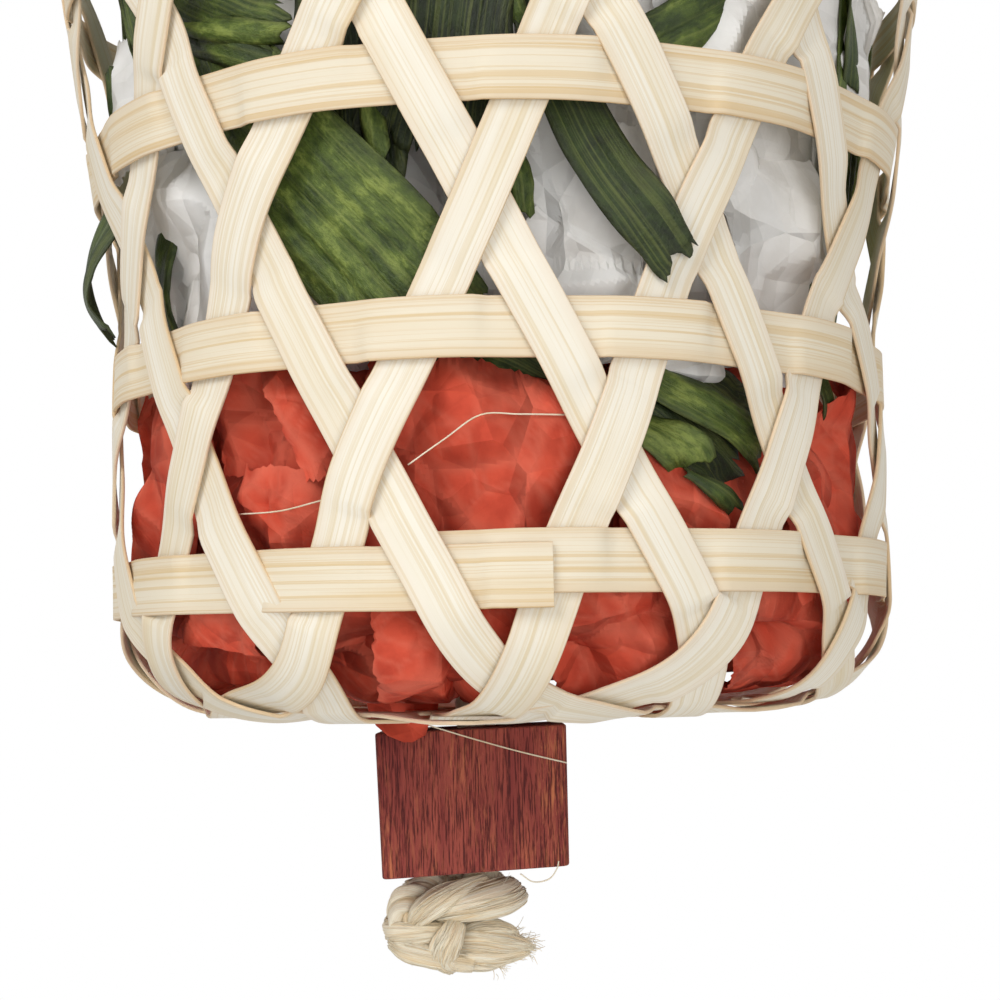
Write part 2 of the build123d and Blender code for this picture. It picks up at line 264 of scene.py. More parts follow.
# Split bamboo, scraped flat: ivory flesh with straw-coloured fibre bundles just under a millimetre apart,
# finer fibres between them, and a warmer tan along both edges of each strip: partly the split fibre's own
# colour, partly painted shade where the edges turn from the light. The skin is satin.
def split_bamboo(name, pale, straw, edge, streak_share):
    made, tree, shader = start_finish(name, Roughness=0.6, IOR=1.5, Specular_IOR_Level=0.3)
    place = add(tree, "ShaderNodeUVMap", uv_map="grain").outputs["UV"]
    lines = []
    for length, apart, low, high, share in ((160, 0.75, 0.55, 0.63, streak_share), (70, 0.3, 0.5, 0.66, 0.4),
                                            (50, 5, 0.4, 0.75, 0.3)):
        drawn = add(tree, "ShaderNodeMapping", {"Vector": place, "Scale": (1 / length, 1 / apart, 1)})
        noise = add(tree, "ShaderNodeTexNoise", {"Vector": drawn.outputs[0], "Scale": 1.0, "Detail": 2.0,
                                                 "Roughness": 0.55}, noise_dimensions="2D")
        mark = add(tree, "ShaderNodeMapRange", {"Value": noise.outputs["Fac"], "From Min": low,
                                                "From Max": high, "To Max": share},
                   interpolation_type="SMOOTHSTEP")
        lines.append(mark.outputs[0])
    bundle, fibre, cloud = lines
    tone = add(tree, "ShaderNodeMix", {"Factor": cloud, 6: linear(pale), 7: linear(straw)}, data_type="RGBA")
    fine = add(tree, "ShaderNodeMix", {"Factor": fibre, 6: tone.outputs[2], 7: linear(straw)},
               data_type="RGBA")
    streaked = add(tree, "ShaderNodeMix", {"Factor": bundle, 6: fine.outputs[2], 7: linear(straw)},
                   data_type="RGBA")
    # Tan along both edges of the strip: the split fibre's own colour and painted shade at the edges.
    edge_tone_and_shade = add(tree, "ShaderNodeAttribute", attribute_name="near_edge")
    edge_tone_and_shade_share = add(tree, "ShaderNodeMath", {0: edge_tone_and_shade.outputs["Fac"], 1: 0.55}, operation="MULTIPLY")
    edged = add(tree, "ShaderNodeMix", {"Factor": edge_tone_and_shade_share.outputs[0], 6: streaked.outputs[2],
                                        7: linear(edge)}, data_type="RGBA")
    tree.links.new(edged.outputs[2], shader.inputs["Base Color"])
    relief = add(tree, "ShaderNodeMath", {0: bundle, 1: fibre}, operation="ADD")
    bump = add(tree, "ShaderNodeBump", {"Height": relief.outputs[0], "Strength": 0.3, "Distance": -0.0001})
    tree.links.new(bump.outputs[0], shader.inputs["Normal"])
    return made


splint_bamboo = split_bamboo("split_bamboo", "#F2EBDB", "#DCC79B", "#CFA05E", 0.4)


def long_splint(direction, course, per=16):
    """The middle line of one long splint and its outward normals."""
    heading = weave_turn + 60 * direction
    offset = floor_pitch * (course + 0.5)
    crossings = 4 - course
    swing = 2 * crossing_turn * (course + 0.5)
    down = np.arange(rim_level, 0, -1)
    across = (crossings - 0.5 - np.arange(2 * crossings)) * floor_pitch / math.sqrt(3)
    turns = np.concatenate([heading + swing - level_turn * down,
                            heading + np.degrees(np.arctan2(offset, across)),
                            heading + 180 - swing + level_turn * down[::-1]])
    on_level = developed_at(level_height(down))
    developed = np.concatenate([on_level, np.hypot(across, offset), on_level[::-1]])
    for stop in range(rim_level + 1):
        level = rim_level - stop
        for place, way, even in ((stop, -1, heading + swing - level_turn * level),
                                 (-1 - stop, 1, heading + 180 - swing + level_turn * level)):
            around, along = splint_moved(level, even, way)
            turns[place] += around
            developed[place] += along
    stops = developed[:, None] * np.stack([np.cos(np.radians(turns)), np.sin(np.radians(turns))], 1)
    line = smooth_through(stops, per)
    middle, normal = on_wall(np.hypot(*line.T), np.degrees(np.arctan2(line[:, 1], line[:, 0])), 0)
    lifts = np.where(np.arange(len(stops)) % 2 == 0, layer, -layer)
    lifts[[0, -1]] = 0
    return weave_through(middle, normal, per, lifts, crossing_skew)


for direction in range(6):
    for course, kind in enumerate(("inner", "outer")):
        number = 2 * direction + course
        middle, normal = long_splint(direction, course)
        run = length_along(middle)
        wave = np.sin(run / 31 + number) * 0.018 + np.sin(run / 9.7 + 2 * number) * 0.01
        width = splint_width * (0.985 + 0.03 * math.sin(5.1 * number) + wave)
        points, faces, grain, near_edge = ribbon(middle, normal, width, splint_thickness)
        grain = grain + (431 * number, 53 * number)
        splint = add_piece(f"splint_{kind}_{direction + 1}", "basket", splint_bamboo, points, faces, grain,
                           near_edge=near_edge)
        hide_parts(f"{kind}_splint_{direction + 1}")

# Wall hoops
# Four flat strips woven round the wall, outside every rising splint and inside every falling one. The ends
# of each lap by one crossing and are held by the weave alone.
hoop_width = 7.4
hoop_crossings = 26
lap_turns = (-10, 150, -120, 172)
lap_tuck = 0.9
lap_lift = 0.75
lap_drop = 1.7
hoop_bamboo = split_bamboo("split_bamboo_outer_skin", "#EBE0C9", "#D9BA84", "#C89753", 0.55)


def wall_hoop(index, per=16):
    """The middle line of a hoop and its outward normals; its last crossing lies over its first."""
    level = 2 * index + 1
    falling = weave_turn + crossing_turn - level_turn * level
    first = falling + 2 * crossing_turn * round((lap_turns[index] - falling) / (2 * crossing_turn))
    stops = first + crossing_turn * np.arange(-1, hoop_crossings)
    stops[0] = first - crossing_turn * 0.35
    lifts = np.where(np.arange(hoop_crossings) % 2 == 0, -layer, layer)
    lifts[0] -= lap_tuck
    lifts[-1] += lap_lift
    lifts = np.concatenate([lifts[:1], lifts])
    turn = smooth_through(stops[:, None], per)[:, 0]
    turn = np.concatenate([turn, turn[-1] + np.linspace(0.1, 0.7, 8)])
    around = (turn - turn[0]) / 360
    level_run = float(developed_at(level_height(level))) + hoop_moved.get(level, 0)
    middle, normal = on_wall(level_run - lap_drop * np.clip(around, 0, 1) ** 3, turn, 0)
    woven_count = hoop_crossings * per + 1
    woven, facing = weave_through(middle[:woven_count], normal[:woven_count], per, lifts, crossing_skew)
    overhang = woven[-1] - middle[woven_count - 1]
    end = middle[woven_count:] + overhang
    return np.vstack([woven, end]), np.vstack([facing, normal[woven_count:]])


for index in range(4):
    middle, normal = wall_hoop(index)
    run = length_along(middle)
    width = hoop_width * (1 + np.sin(run / 43 + 2 * index) * 0.02 + np.sin(run / 13 + index) * 0.012)
    points, faces, grain, near_edge = ribbon(middle, normal, width, splint_thickness)
    grain = grain + (611 * index, 71 * index + 900)
    hoop = add_piece(f"hoop_{index + 1}", "basket", hoop_bamboo, points, faces, grain, near_edge=near_edge)
    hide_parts(f"wall_hoop_{index + 1}")

# Rim
# Two stiffer bamboo bands, one outside and one inside the splint ends, with shaved ends that lap. They
# clamp the splint ends between them and give the mouth its round edge.
rim_height = 128.7
rim_width = 9.0
rim_thickness = 1.2
rim_inset = 1.35
rim_lap = 20.0
rim_bamboo = split_bamboo("split_bamboo_rim", "#E9D9B4", "#CFAB6E", "#B98A4C", 0.8)
for name, node, inset, start in (("rim_band_outer", "rim_outer", -rim_inset, 205),
                                 ("rim_band_inner", "rim_inner", rim_inset, 60)):
    turn = np.arange(start, start + 360 + rim_lap, 2.0)
    shaved = np.interp(turn - start, (0, rim_lap, 360, 360 + rim_lap), (0.42, 1, 1, 0.42))
    lapped = np.interp(turn - start, (0, rim_lap, 360, 360 + rim_lap), (-0.3, 0, 0, 0.3)) * rim_thickness
    middle, normal = on_wall(float(developed_at(rim_height)), turn, inset)
    middle = middle + normal * lapped[:, None]
    points, faces, grain, near_edge = ribbon(middle, normal, rim_width, rim_thickness * shaved)
    band = add_piece(name, "basket", rim_bamboo, points, faces, grain + (37 * start, 3 * start),
                     near_edge=near_edge)
    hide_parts(node)

# Rim ties
# Twelve bindings of peeled cane, each wound twice round both bands and the splints between them and tucked
# under itself. They hold the bands together.
tie_width = 1.35
tie_thickness = 0.6
tie_room = tie_thickness / 2 + 0.1
tie_cane = split_bamboo("peeled_cane", "#E3CC9C", "#C49A5C", "#A97C42", 0.7)
tie_points, tie_faces, tie_grain, tie_edge = [], [], [], []
for number in range(12):
    for strand in (-1, 1):
        turn = weave_turn + 30 * number
        loop = np.linspace(0, 2 * math.pi, 40, endpoint=False)
        rise = np.clip(1.25 * np.cos(loop), -1, 1) * (rim_width / 2 + tie_room)
        proud = np.clip(1.6 * np.sin(loop), -1, 1) * (rim_inset + rim_thickness / 2 + tie_room)
        slant = strand * (0.62 + 0.1 * np.cos(loop)) + 0.3 * np.sin(loop)
        developed = developed_at(rim_height) + rise
        middle, normal = on_wall(developed, turn + np.degrees(slant / 65), -proud)
        centre = middle.mean(axis=0)
        points, faces, grain, near_edge = ribbon(middle, middle - centre, tie_width, tie_thickness,
                                                 closed=True)
        tie_faces += [[corner + len(tie_points) for corner in face] for face in faces]
        tie_points += points.tolist()
        tie_grain += (grain + (90 * number, 11 * number + 4 * strand)).tolist()
        tie_edge += near_edge.tolist()
ties = add_piece("rim_cane_ties", "basket", tie_cane, tie_points, tie_faces, np.array(tie_grain),
                 near_edge=tie_edge)
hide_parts("rim_ties")

# Red tissue
# Sheets of red tissue paper, torn off and crumpled by hand, packed in the lower half of the basket. Three
# large ones line the floor and the wall, and smaller ones are pushed in between them and the splints.
tissue_thickness = 0.14
splint_room = 1.7
wall_mm_per_degree = 0.95
crease_angle = math.radians(11)


def crumple(place, spacing, seed):
    """Flat facets with sharp creases, as in crumpled paper: height from about -1 to 1, and nearness to a
    crease. Each of two sets of scattered points cuts the sheet into cells."""
    draw = np.random.default_rng(seed)
    low = place.reshape(-1, 2).min(axis=0) - spacing
    high = place.reshape(-1, 2).max(axis=0) + spacing
    columns = [np.arange(low[k], high[k] + spacing, spacing) for k in (0, 1)]
    corners = np.stack(np.meshgrid(*columns), -1).reshape(-1, 2)
    height = np.zeros(place.shape[:-1])
    crease = np.zeros(place.shape[:-1])
    for sign in (1, -1):
        sites = corners + draw.uniform(-0.5, 0.5, corners.shape) * spacing
        apart = np.linalg.norm(place[..., None, :] - sites, axis=-1)
        nearest = np.partition(apart, 1, axis=-1)[..., :2]
        height += sign * nearest[..., 0] ** 2
        crease = np.maximum(crease, np.exp(-((nearest[..., 1] - nearest[..., 0]) / (0.09 * spacing)) ** 2))
    return height * 4 / spacing ** 2, crease


def spread(rows, step):
    """A fine grid of places between rows of given ones, with straight folds along the rows."""
    rows = np.asarray(rows, float)
    lengths = []
    for axis in (0, 1):
        leap = np.diff(rows, axis=axis) * (wall_mm_per_degree, 1, 1)
        lengths.append(np.linalg.norm(leap, axis=-1).mean(axis=1 - axis))
    grid = rows
    for axis in (0, 1):
        run = np.concatenate([[0], np.cumsum(lengths[axis])])
        at = np.linspace(0, run[-1], int(run[-1] / step) + 2)
        low = np.clip(np.searchsorted(run, at, side="right") - 1, 0, len(run) - 2)
        part = (at - run[low]) / (run[low + 1] - run[low])
        part = part.reshape([-1 if k == axis else 1 for k in range(3)])
        grid = np.take(grid, low, axis=axis) * (1 - part) + np.take(grid, low + 1, axis=axis) * part
    return grid


def torn(count, depth, draw):
    """A torn edge: how far in it is at each of count places along it."""
    steps = np.linspace(0, 1, max(count // 3, 2))
    coarse = np.interp(np.linspace(0, 1, count), steps, draw.uniform(0, 1, len(steps)))
    return depth * (0.6 * coarse + 0.4 * draw.uniform(0, 1, count))


def thin_sheet(grid, thickness):
    """A closed thin sheet with a grid of points in its middle: its points and faces."""
    across = np.gradient(grid, axis=1)
    along = np.gradient(grid, axis=0)
    offset = unit(np.cross(across, along)) * thickness / 2
    rows, columns = grid.shape[:2]
    front = np.arange(rows * columns).reshape(rows, columns)
    faces = np.stack([front[:-1, :-1], front[1:, :-1], front[1:, 1:], front[:-1, 1:]], -1).reshape(-1, 4)
    back = faces[:, ::-1] + rows * columns
    edge = np.concatenate([front[0, :-1], front[:-1, -1], front[-1, :0:-1], front[:0:-1, 0]])
    ahead = np.roll(edge, -1)
    side = np.stack([edge, ahead, ahead + rows * columns, edge + rows * columns], -1)
    points = np.concatenate([(grid - offset).reshape(-1, 3), (grid + offset).reshape(-1, 3)])
    return points, np.concatenate([faces, back, side]).tolist()


def tissue_sheet(name, finish, rows, seed, creases, node=None, step=0.6,
                 room=splint_room):
    """A crumpled sheet of tissue laid through rows of places (turn, developed length, inset), which keeps at
    least room inside the wall."""
    draw = np.random.default_rng(seed)
    grid = spread(rows, step)
    turn, developed, inset = np.moveaxis(grid, -1, 0)
    place = np.stack([turn * wall_mm_per_degree, developed], -1)
    warp = np.stack([np.sin(place[..., 1] / 7 + seed), np.sin(place[..., 0] / 6 + 2 * seed)], -1)
    crease = np.zeros(turn.shape)
    for number, (spacing, depth) in enumerate(creases):
        height, near = crumple(place + warp * spacing * 0.08, spacing, 10 * seed + number)
        inset = inset + height * depth
        crease = np.maximum(crease, near * (1 - 0.25 * number))
    rows_count, columns_count = turn.shape
    ends = np.linspace(-1, 1, rows_count)[:, None]
    developed = developed - np.sign(ends) * np.abs(ends) ** 6 * torn(columns_count, 1.4, draw)
    sides = np.linspace(-1, 1, columns_count)[None]
    turn = turn - np.sign(sides) * np.abs(sides) ** 6 * torn(rows_count, 1.4, draw)[:, None]
    kept_in = room + 0.5 * np.logaddexp(0, (inset - room) / 0.5)
    middle, _ = on_wall(developed, turn, kept_in)
    points, faces = thin_sheet(middle, tissue_thickness)
    grain = np.concatenate([place.reshape(-1, 2)] * 2) + 60 * seed
    sheet = add_piece(name, "basket", finish, points, faces, grain, crease=np.tile(crease.ravel(), 2))
    sheet.data.set_sharp_from_angle(angle=crease_angle)
    if node:
        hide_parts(node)
    return sheet


# Tissue paper, dyed in the pulp: matt and soft, a shade uneven where the fibres cloud together, paler along
# the creases, which on red paper is partly where the dye has cracked and partly painted highlight along the
# folds, and on white paper painted highlight alone; with flat facets and sharp folds between them all over.
def tissue_paper(name, colour, cloud, pale, crease_wear_and_highlight_share):
    made, tree, shader = start_finish(name, Roughness=0.82, IOR=1.45, Specular_IOR_Level=0.25)
    place = add(tree, "ShaderNodeUVMap", uv_map="grain").outputs["UV"]
    clouds = add(tree, "ShaderNodeTexNoise", {"Vector": place, "Scale": 1 / 5.0, "Detail": 5.0},
                 noise_dimensions="2D")
    cloudy = add(tree, "ShaderNodeMapRange", {"Value": clouds.outputs["Fac"], "From Min": 0.38,
                                              "From Max": 0.68, "To Max": 0.7})
    toned = add(tree, "ShaderNodeMix", {"Factor": cloudy.outputs[0], 6: linear(colour), 7: linear(cloud)},
                data_type="RGBA")
    # Paler along the creases: painted highlight along the folds, and on the red also dye cracked there.
    folded = add(tree, "ShaderNodeAttribute", attribute_name="crease")
    share = add(tree, "ShaderNodeMath", {0: folded.outputs["Fac"], 1: crease_wear_and_highlight_share}, operation="MULTIPLY")
    worn = add(tree, "ShaderNodeMix", {"Factor": share.outputs[0], 6: toned.outputs[2], 7: linear(pale)},
               data_type="RGBA")
    tree.links.new(worn.outputs[2], shader.inputs["Base Color"])
    relief = add(tree, "ShaderNodeMath", {0: clouds.outputs["Fac"], 1: 0.3}, operation="MULTIPLY")
    for apart, depth, aside, operation in ((18.0, 7.0, 0, "ADD"), (18.0, 7.0, 37, "SUBTRACT"),
                                           (7.0, 1.0, 5, "ADD"), (7.0, 1.0, 53, "SUBTRACT")):
        moved = add(tree, "ShaderNodeMapping", {"Vector": place, "Location": (aside, aside, 0),
                                                "Scale": (1 / apart, 1 / apart, 1)})
        cell = add(tree, "ShaderNodeTexVoronoi", {"Vector": moved.outputs[0], "Scale": 1.0},
                   voronoi_dimensions="2D").outputs["Distance"]
        square = add(tree, "ShaderNodeMath", {0: cell, 1: cell}, operation="MULTIPLY")
        facet = add(tree, "ShaderNodeMath", {0: square.outputs[0], 1: depth}, operation="MULTIPLY")
        relief = add(tree, "ShaderNodeMath", {0: relief.outputs[0], 1: facet.outputs[0]},
                     operation=operation)
    bump = add(tree, "ShaderNodeBump", {"Height": relief.outputs[0], "Strength": 1.0, "Distance": mm})
    tree.links.new(bump.outputs[0], shader.inputs["Normal"])
    return made


# Its pale crease colour is partly dye cracked along the creases and partly painted highlight along the
# folds.
red_paper = tissue_paper("red_tissue_paper", "#D8553D", "#B03B29", "#E8866C", 0.3)
lining_creases = ((26, 2.2), (11, 1.0))
scrap_creases = ((15, 1.25), (6.5, 0.16))


def lining(first_turn, levels, front_room):
    """Rows for a sheet that lines a third of the wall; levels are pairs of developed length and inset. At
    the front it stands front_room further in, behind what is pushed in there."""
    turns = np.linspace(first_turn - 4, first_turn + 124, 9)
    front = np.cos(np.radians(turns / 2)) ** 8
    return [[(turn, developed, inset + back * front_room) for turn, back in zip(turns, front)]
            for developed, inset in levels]


red_levels = ((96.7, 16), (91.7, 9), (81.7, 6.5), (67.7, 4.5), (51.3, 4.5), (37, 4), (22.6, 3.5), (11.3, 5))
for number in range(3):
    tissue_sheet(f"red_tissue_wad_{number + 1}", red_paper,
                 lining(120 * number, red_levels, 4.5), number + 1, lining_creases,
                 f"red_tissue_{number + 1}", step=1.3, room=4.5)

red_scraps = (
    (((-20, 91, 7.5), (-11, 90.5, 6), (-3, 89.8, 5), (5, 88, 5), (10, 84.5, 6)),
     ((-20, 87, 5), (-11, 86.8, 2.8), (-3, 86, 2.4), (6, 83.5, 2.8), (12.5, 81, 4)),
     ((-20, 79.5, 6.5), (-11, 79.5, 4.6), (-2, 79, 3.4), (7, 77.5, 3.4), (14, 76, 4.2)),
     ((-19, 71, 9), (-10, 71.5, 8), (-1, 71, 6.4), (8, 70, 5.4), (15, 69.5, 5.2)),
     ((-18, 62, 12), (-9, 62, 12), (0, 62, 11), (8, 62, 9.5), (16, 62, 9))),
    (((-38, 93, 5.5), (-31, 93, 3.6), (-21, 92.5, 3.6)),
     ((-33.5, 86.5, 3), (-28, 86, 2.4), (-21, 85.5, 3.2)),
     ((-27.3, 77.8, 2.8), (-24.5, 77.5, 2.6), (-20, 77, 4))),
    (((-46, 93.5, 4.5), (-38, 92.5, 6.5), (-28, 92, 8)),
     ((-45, 86, 4), (-38, 85.5, 7), (-28, 84.5, 9)),
     ((-44, 79, 5), (-37, 78.5, 8.5), (-27, 77.5, 10.5))),
    (((-47, 80, 6), (-41, 79.3, 4.5), (-37, 78.3, 2.6), (-32, 78, 3.2), (-26, 77.6, 4), (-21, 77, 5.5)),
     ((-48, 75, 3), (-42, 75, 5), (-37.5, 75, 2), (-34.5, 74.6, 5), (-31, 74.3, 2.2), (-21, 74, 5.2)),
     ((-48, 69.7, 5), (-43, 69.7, 2.6), (-38, 69.7, 5.6), (-33, 69.7, 2.4), (-28, 69.7, 5.6),
      (-21, 69.7, 3)),
     ((-48, 62.6, 7), (-43, 62.6, 7), (-38, 62.6, 8), (-33, 62.6, 6.5), (-28, 62.6, 8), (-21, 62.6, 7))),
    (((16, 81.2, 5), (21, 79.3, 4.5), (28, 75.9, 3.6), (34.5, 72.7, 4.5)),
     ((16, 74.7, 4), (22, 74.2, 2.8), (28, 73.2, 2.6), (35, 71.1, 4)),
     ((16, 67.7, 5), (22, 67.7, 4.5), (28, 67.7, 4.5), (36, 67.7, 6))),
    (((29, 80.7, 12), (36, 81.7, 10), (44, 81.7, 10)),
     ((29, 74.7, 12), (36, 74.7, 9), (44, 74.7, 9)),
     ((29, 67.7, 11), (36, 67.7, 9), (44, 67.7, 10))),
    (((50, 79.7, 8), (55, 83.7, 6), (61, 86.7, 5), (67, 90.7, 4), (73, 92.7, 6), (80, 93.7, 5)),
     ((48, 75.7, 6), (54, 77.7, 3), (60, 79.7, 6), (66, 81.7, 2.6), (73, 82.7, 6), (80, 83.7, 3)),
     ((47, 68.7, 4), (54, 68.7, 3), (60, 68.7, 5), (66, 68.7, 3), (73, 68.7, 5), (80, 68.7, 3))),
    (((-82, 92.7, 4), (-74, 91.7, 6), (-66, 90.7, 4), (-58, 89.7, 7), (-52, 88.7, 8)),
     ((-82, 83.7, 3), (-74, 83.7, 5), (-66, 81.7, 3), (-58, 80.7, 5), (-52, 79.7, 6)),
     ((-82, 75.7, 5), (-74, 74.7, 2.6), (-66, 74.7, 4.6), (-58, 73.7, 3), (-52, 73.7, 5)),
     ((-82, 65.7, 4), (-74, 65.7, 5), (-66, 65.7, 3), (-58, 65.7, 5), (-52, 65.7, 4))),
    (((-19, 63, 3), (-13, 63, 2.4), (-8.6, 63, 3), (-7.2, 63, 8)),
     ((-18.4, 56.4, 2.6), (-13, 56.2, 2.2), (-8.6, 56, 2.8), (-7, 56, 8)),
     ((-19, 50, 2.4), (-13, 50, 2.2), (-9, 50, 2.8), (-7, 50, 8)),
     ((-23, 38.5, 1.9), (-15, 38.5, 1.8), (-10.5, 38.5, 2), (-8, 38.5, 6)),
     ((-31, 28, 1.8), (-19, 28, 1.7), (-13, 28, 1.8), (-9, 28, 4))),
    (((-30, 63.5, 5), (-24, 63, 4), (-17, 63, 6.5)),
     ((-30, 55, 4.5), (-24, 56, 4.5), (-17, 56, 7)),
     ((-33, 46, 6.5), (-25, 48, 7.5), (-17, 47, 7.5)),
     ((-40, 34, 1.8), (-28, 34, 1.8), (-17, 34, 2.4))),
    (((-10, 63, 7), (-4, 63, 4.5), (3, 63, 4.5)),
     ((-9, 55, 7.5), (-3, 55, 4), (5, 55, 4.5)),
     ((-9, 46, 7.5), (-2, 46, 4.5), (6, 46, 4.5)),
     ((-10, 35, 2), (-2, 35, 1.8), (8, 35, 1.8))),
    (((5.5, 63.7, 5), (13, 63.7, 3.2), (20, 63.7, 3.6), (27, 63.7, 5)),
     ((5.8, 57.5, 5.5), (12.5, 57, 2.4), (20, 58.5, 5), (28, 57.5, 3)),
     ((6, 51, 3), (13, 51, 4.8), (21, 50.3, 2.4), (30, 50.3, 4.4)),
     ((8, 43, 3), (16, 43, 1.9), (25, 43, 2.8), (35, 43.1, 2)),
     ((12, 33, 1.8), (22, 33, 1.7), (32, 33, 1.8), (46, 33, 1.8))),
    (((32, 63.7, 4), (40, 63.7, 3), (50, 63.7, 3.5), (62, 63.7, 4)),
     ((33, 57.6, 2.8), (41, 57.2, 2.2), (51, 57.6, 2.6), (64, 58.6, 3.4)),
     ((34, 55.6, 6), (42, 55.2, 6.5), (52, 55.6, 6), (66, 56, 6)),
     ((36, 51.3, 3.2), (44, 50.8, 2.4), (55, 50.3, 3), (68, 50.3, 4.4)),
     ((40, 43, 2.4), (50, 43, 2.4), (64, 42, 1.9), (80, 42, 1.9)),
     ((50, 34, 1.8), (62, 34, 1.7), (76, 34, 1.7), (92, 34, 1.8))),
    (((-62, 63.7, 4), (-53, 63.1, 3), (-45, 62.6, 2.6), (-36, 62.1, 4)),
     ((-62, 58, 3), (-53, 56.5, 2.2), (-45, 55, 3), (-36, 54, 2.6)),
     ((-64, 55.5, 6.5), (-54, 53.5, 7), (-46, 52, 6.5), (-36, 51, 5)),
     ((-72, 48, 3), (-62, 47, 2.6), (-50, 46, 2.4), (-38, 46, 3)),
     ((-84, 37, 2.2), (-72, 37, 2), (-58, 37, 1.8), (-44, 37, 1.8))),
)
for number, rows in enumerate(red_scraps):
    tissue_sheet(f"red_tissue_scrap_{number + 1}", red_paper, rows, 20 + number, scrap_creases)

# White tissue
# The same paper undyed, torn, crumpled and packed on top of the red. Three large sheets line the upper
# wall, with smaller ones in front of them.
# Its pale crease colour is painted highlight along the folds.
white_paper = tissue_paper("white_tissue_paper", "#F1EFEB", "#E6E3DD", "#F8F6F3", 0.15)
white_levels = ((161.7, 14), (151.7, 8), (137.7, 6), (123.7, 6), (109.7, 6), (99.7, 7), (91.7, 10))
for number in range(3):
    tissue_sheet(f"white_tissue_wad_{number + 1}", white_paper,
                 lining(120 * number, white_levels, 5), number + 5, lining_creases,
                 f"white_tissue_{number + 1}", step=1.3, room=6.2)

white_scraps = (
    (((-70, 122.7, 7), (-62, 121.7, 5), (-54, 120.7, 6), (-46, 119.7, 8), (-40, 119.7, 9)),
     ((-70, 115.7, 5), (-62, 114.7, 7), (-54, 114.7, 4), (-46, 113.7, 6), (-40, 113.7, 8)),
     ((-72, 107.7, 6), (-63, 107.7, 4), (-55, 106.7, 6.5), (-47, 106.7, 4.5), (-40, 106.7, 8)),
     ((-74, 98.7, 6), (-65, 98.7, 6), (-56, 97.7, 4), (-48, 97.7, 6), (-40, 97.7, 8))),
    (((1, 118.7, 8), (8, 118.7, 6), (16, 118.2, 6), (25, 117.7, 8)),
     ((2, 112.7, 6.5), (8, 111.7, 5), (15, 110.7, 5), (25, 109.7, 7)),
     ((5, 108.2, 4.2), (10, 105.2, 3.8), (15, 102.7, 3.6), (22, 99.2, 4)),
     ((2, 103.7, 8), (7, 100.7, 8.5), (13, 97.7, 8.5), (22, 94.7, 8)),
     ((1, 96.7, 9), (7, 95.7, 9.5), (14, 94.7, 9.5), (22, 93.2, 9))),
    (((34, 120.7, 8), (41, 120.7, 6), (48, 120.7, 5), (57, 120.7, 6), (66, 120.7, 7)),
     ((34, 113.7, 6.5), (41, 113.7, 3.6), (48, 113.7, 4.4), (57, 113.7, 3.6), (66, 112.7, 6)),
     ((35, 105.7, 5), (42, 105.7, 3.2), (49, 105.7, 5), (58, 105.7, 4), (66, 105.7, 6)),
     ((36, 97.7, 6), (43, 97.7, 5), (50, 97.7, 6), (59, 97.7, 5), (66, 97.7, 7))),
    (((22, 142.7, 8), (32, 142.7, 6), (42, 142.7, 7), (52, 142.7, 4.5), (62, 142.7, 6), (72, 142.7, 4)),
     ((22, 133.7, 7), (32, 132.7, 5), (42, 133.7, 6), (52, 133.7, 3.6), (62, 133.7, 5), (72, 134.7, 3.4)),
     ((24, 124.7, 6.5), (33, 124.7, 5), (43, 124.7, 6), (53, 124.7, 4.4), (63, 124.7, 6), (73, 125.7, 5))),
    (((22, 95.7, 7), (30, 95.2, 6), (38, 95.2, 7)),
     ((23, 90.2, 6), (30, 89.2, 5), (38, 89.7, 7)),
     ((24, 86.7, 9), (31, 86.2, 9), (38, 86.7, 10))),
    (((-84, 141.7, 5), (-74, 140.7, 4), (-64, 138.7, 4.5), (-55, 137.7, 7)),
     ((-84, 132.7, 4), (-74, 132.7, 5), (-64, 130.7, 3.4), (-55, 129.7, 6)),
     ((-84, 123.7, 5), (-74, 123.7, 4), (-64, 122.7, 5), (-55, 121.7, 6))),
)
for number, rows in enumerate(white_scraps):
    tissue_sheet(f"white_tissue_scrap_{number + 1}", white_paper, rows, 40 + number,
                 scrap_creases)

# Leaves
# Strips torn from dried palm leaf, still green, with ribs along them and ragged ends. They are pushed in
# between the tissue and the wall, and some stand out of the mouth.
leaf_thickness = 0.25
rib_spacing = 3.4
rib_depth = 0.4


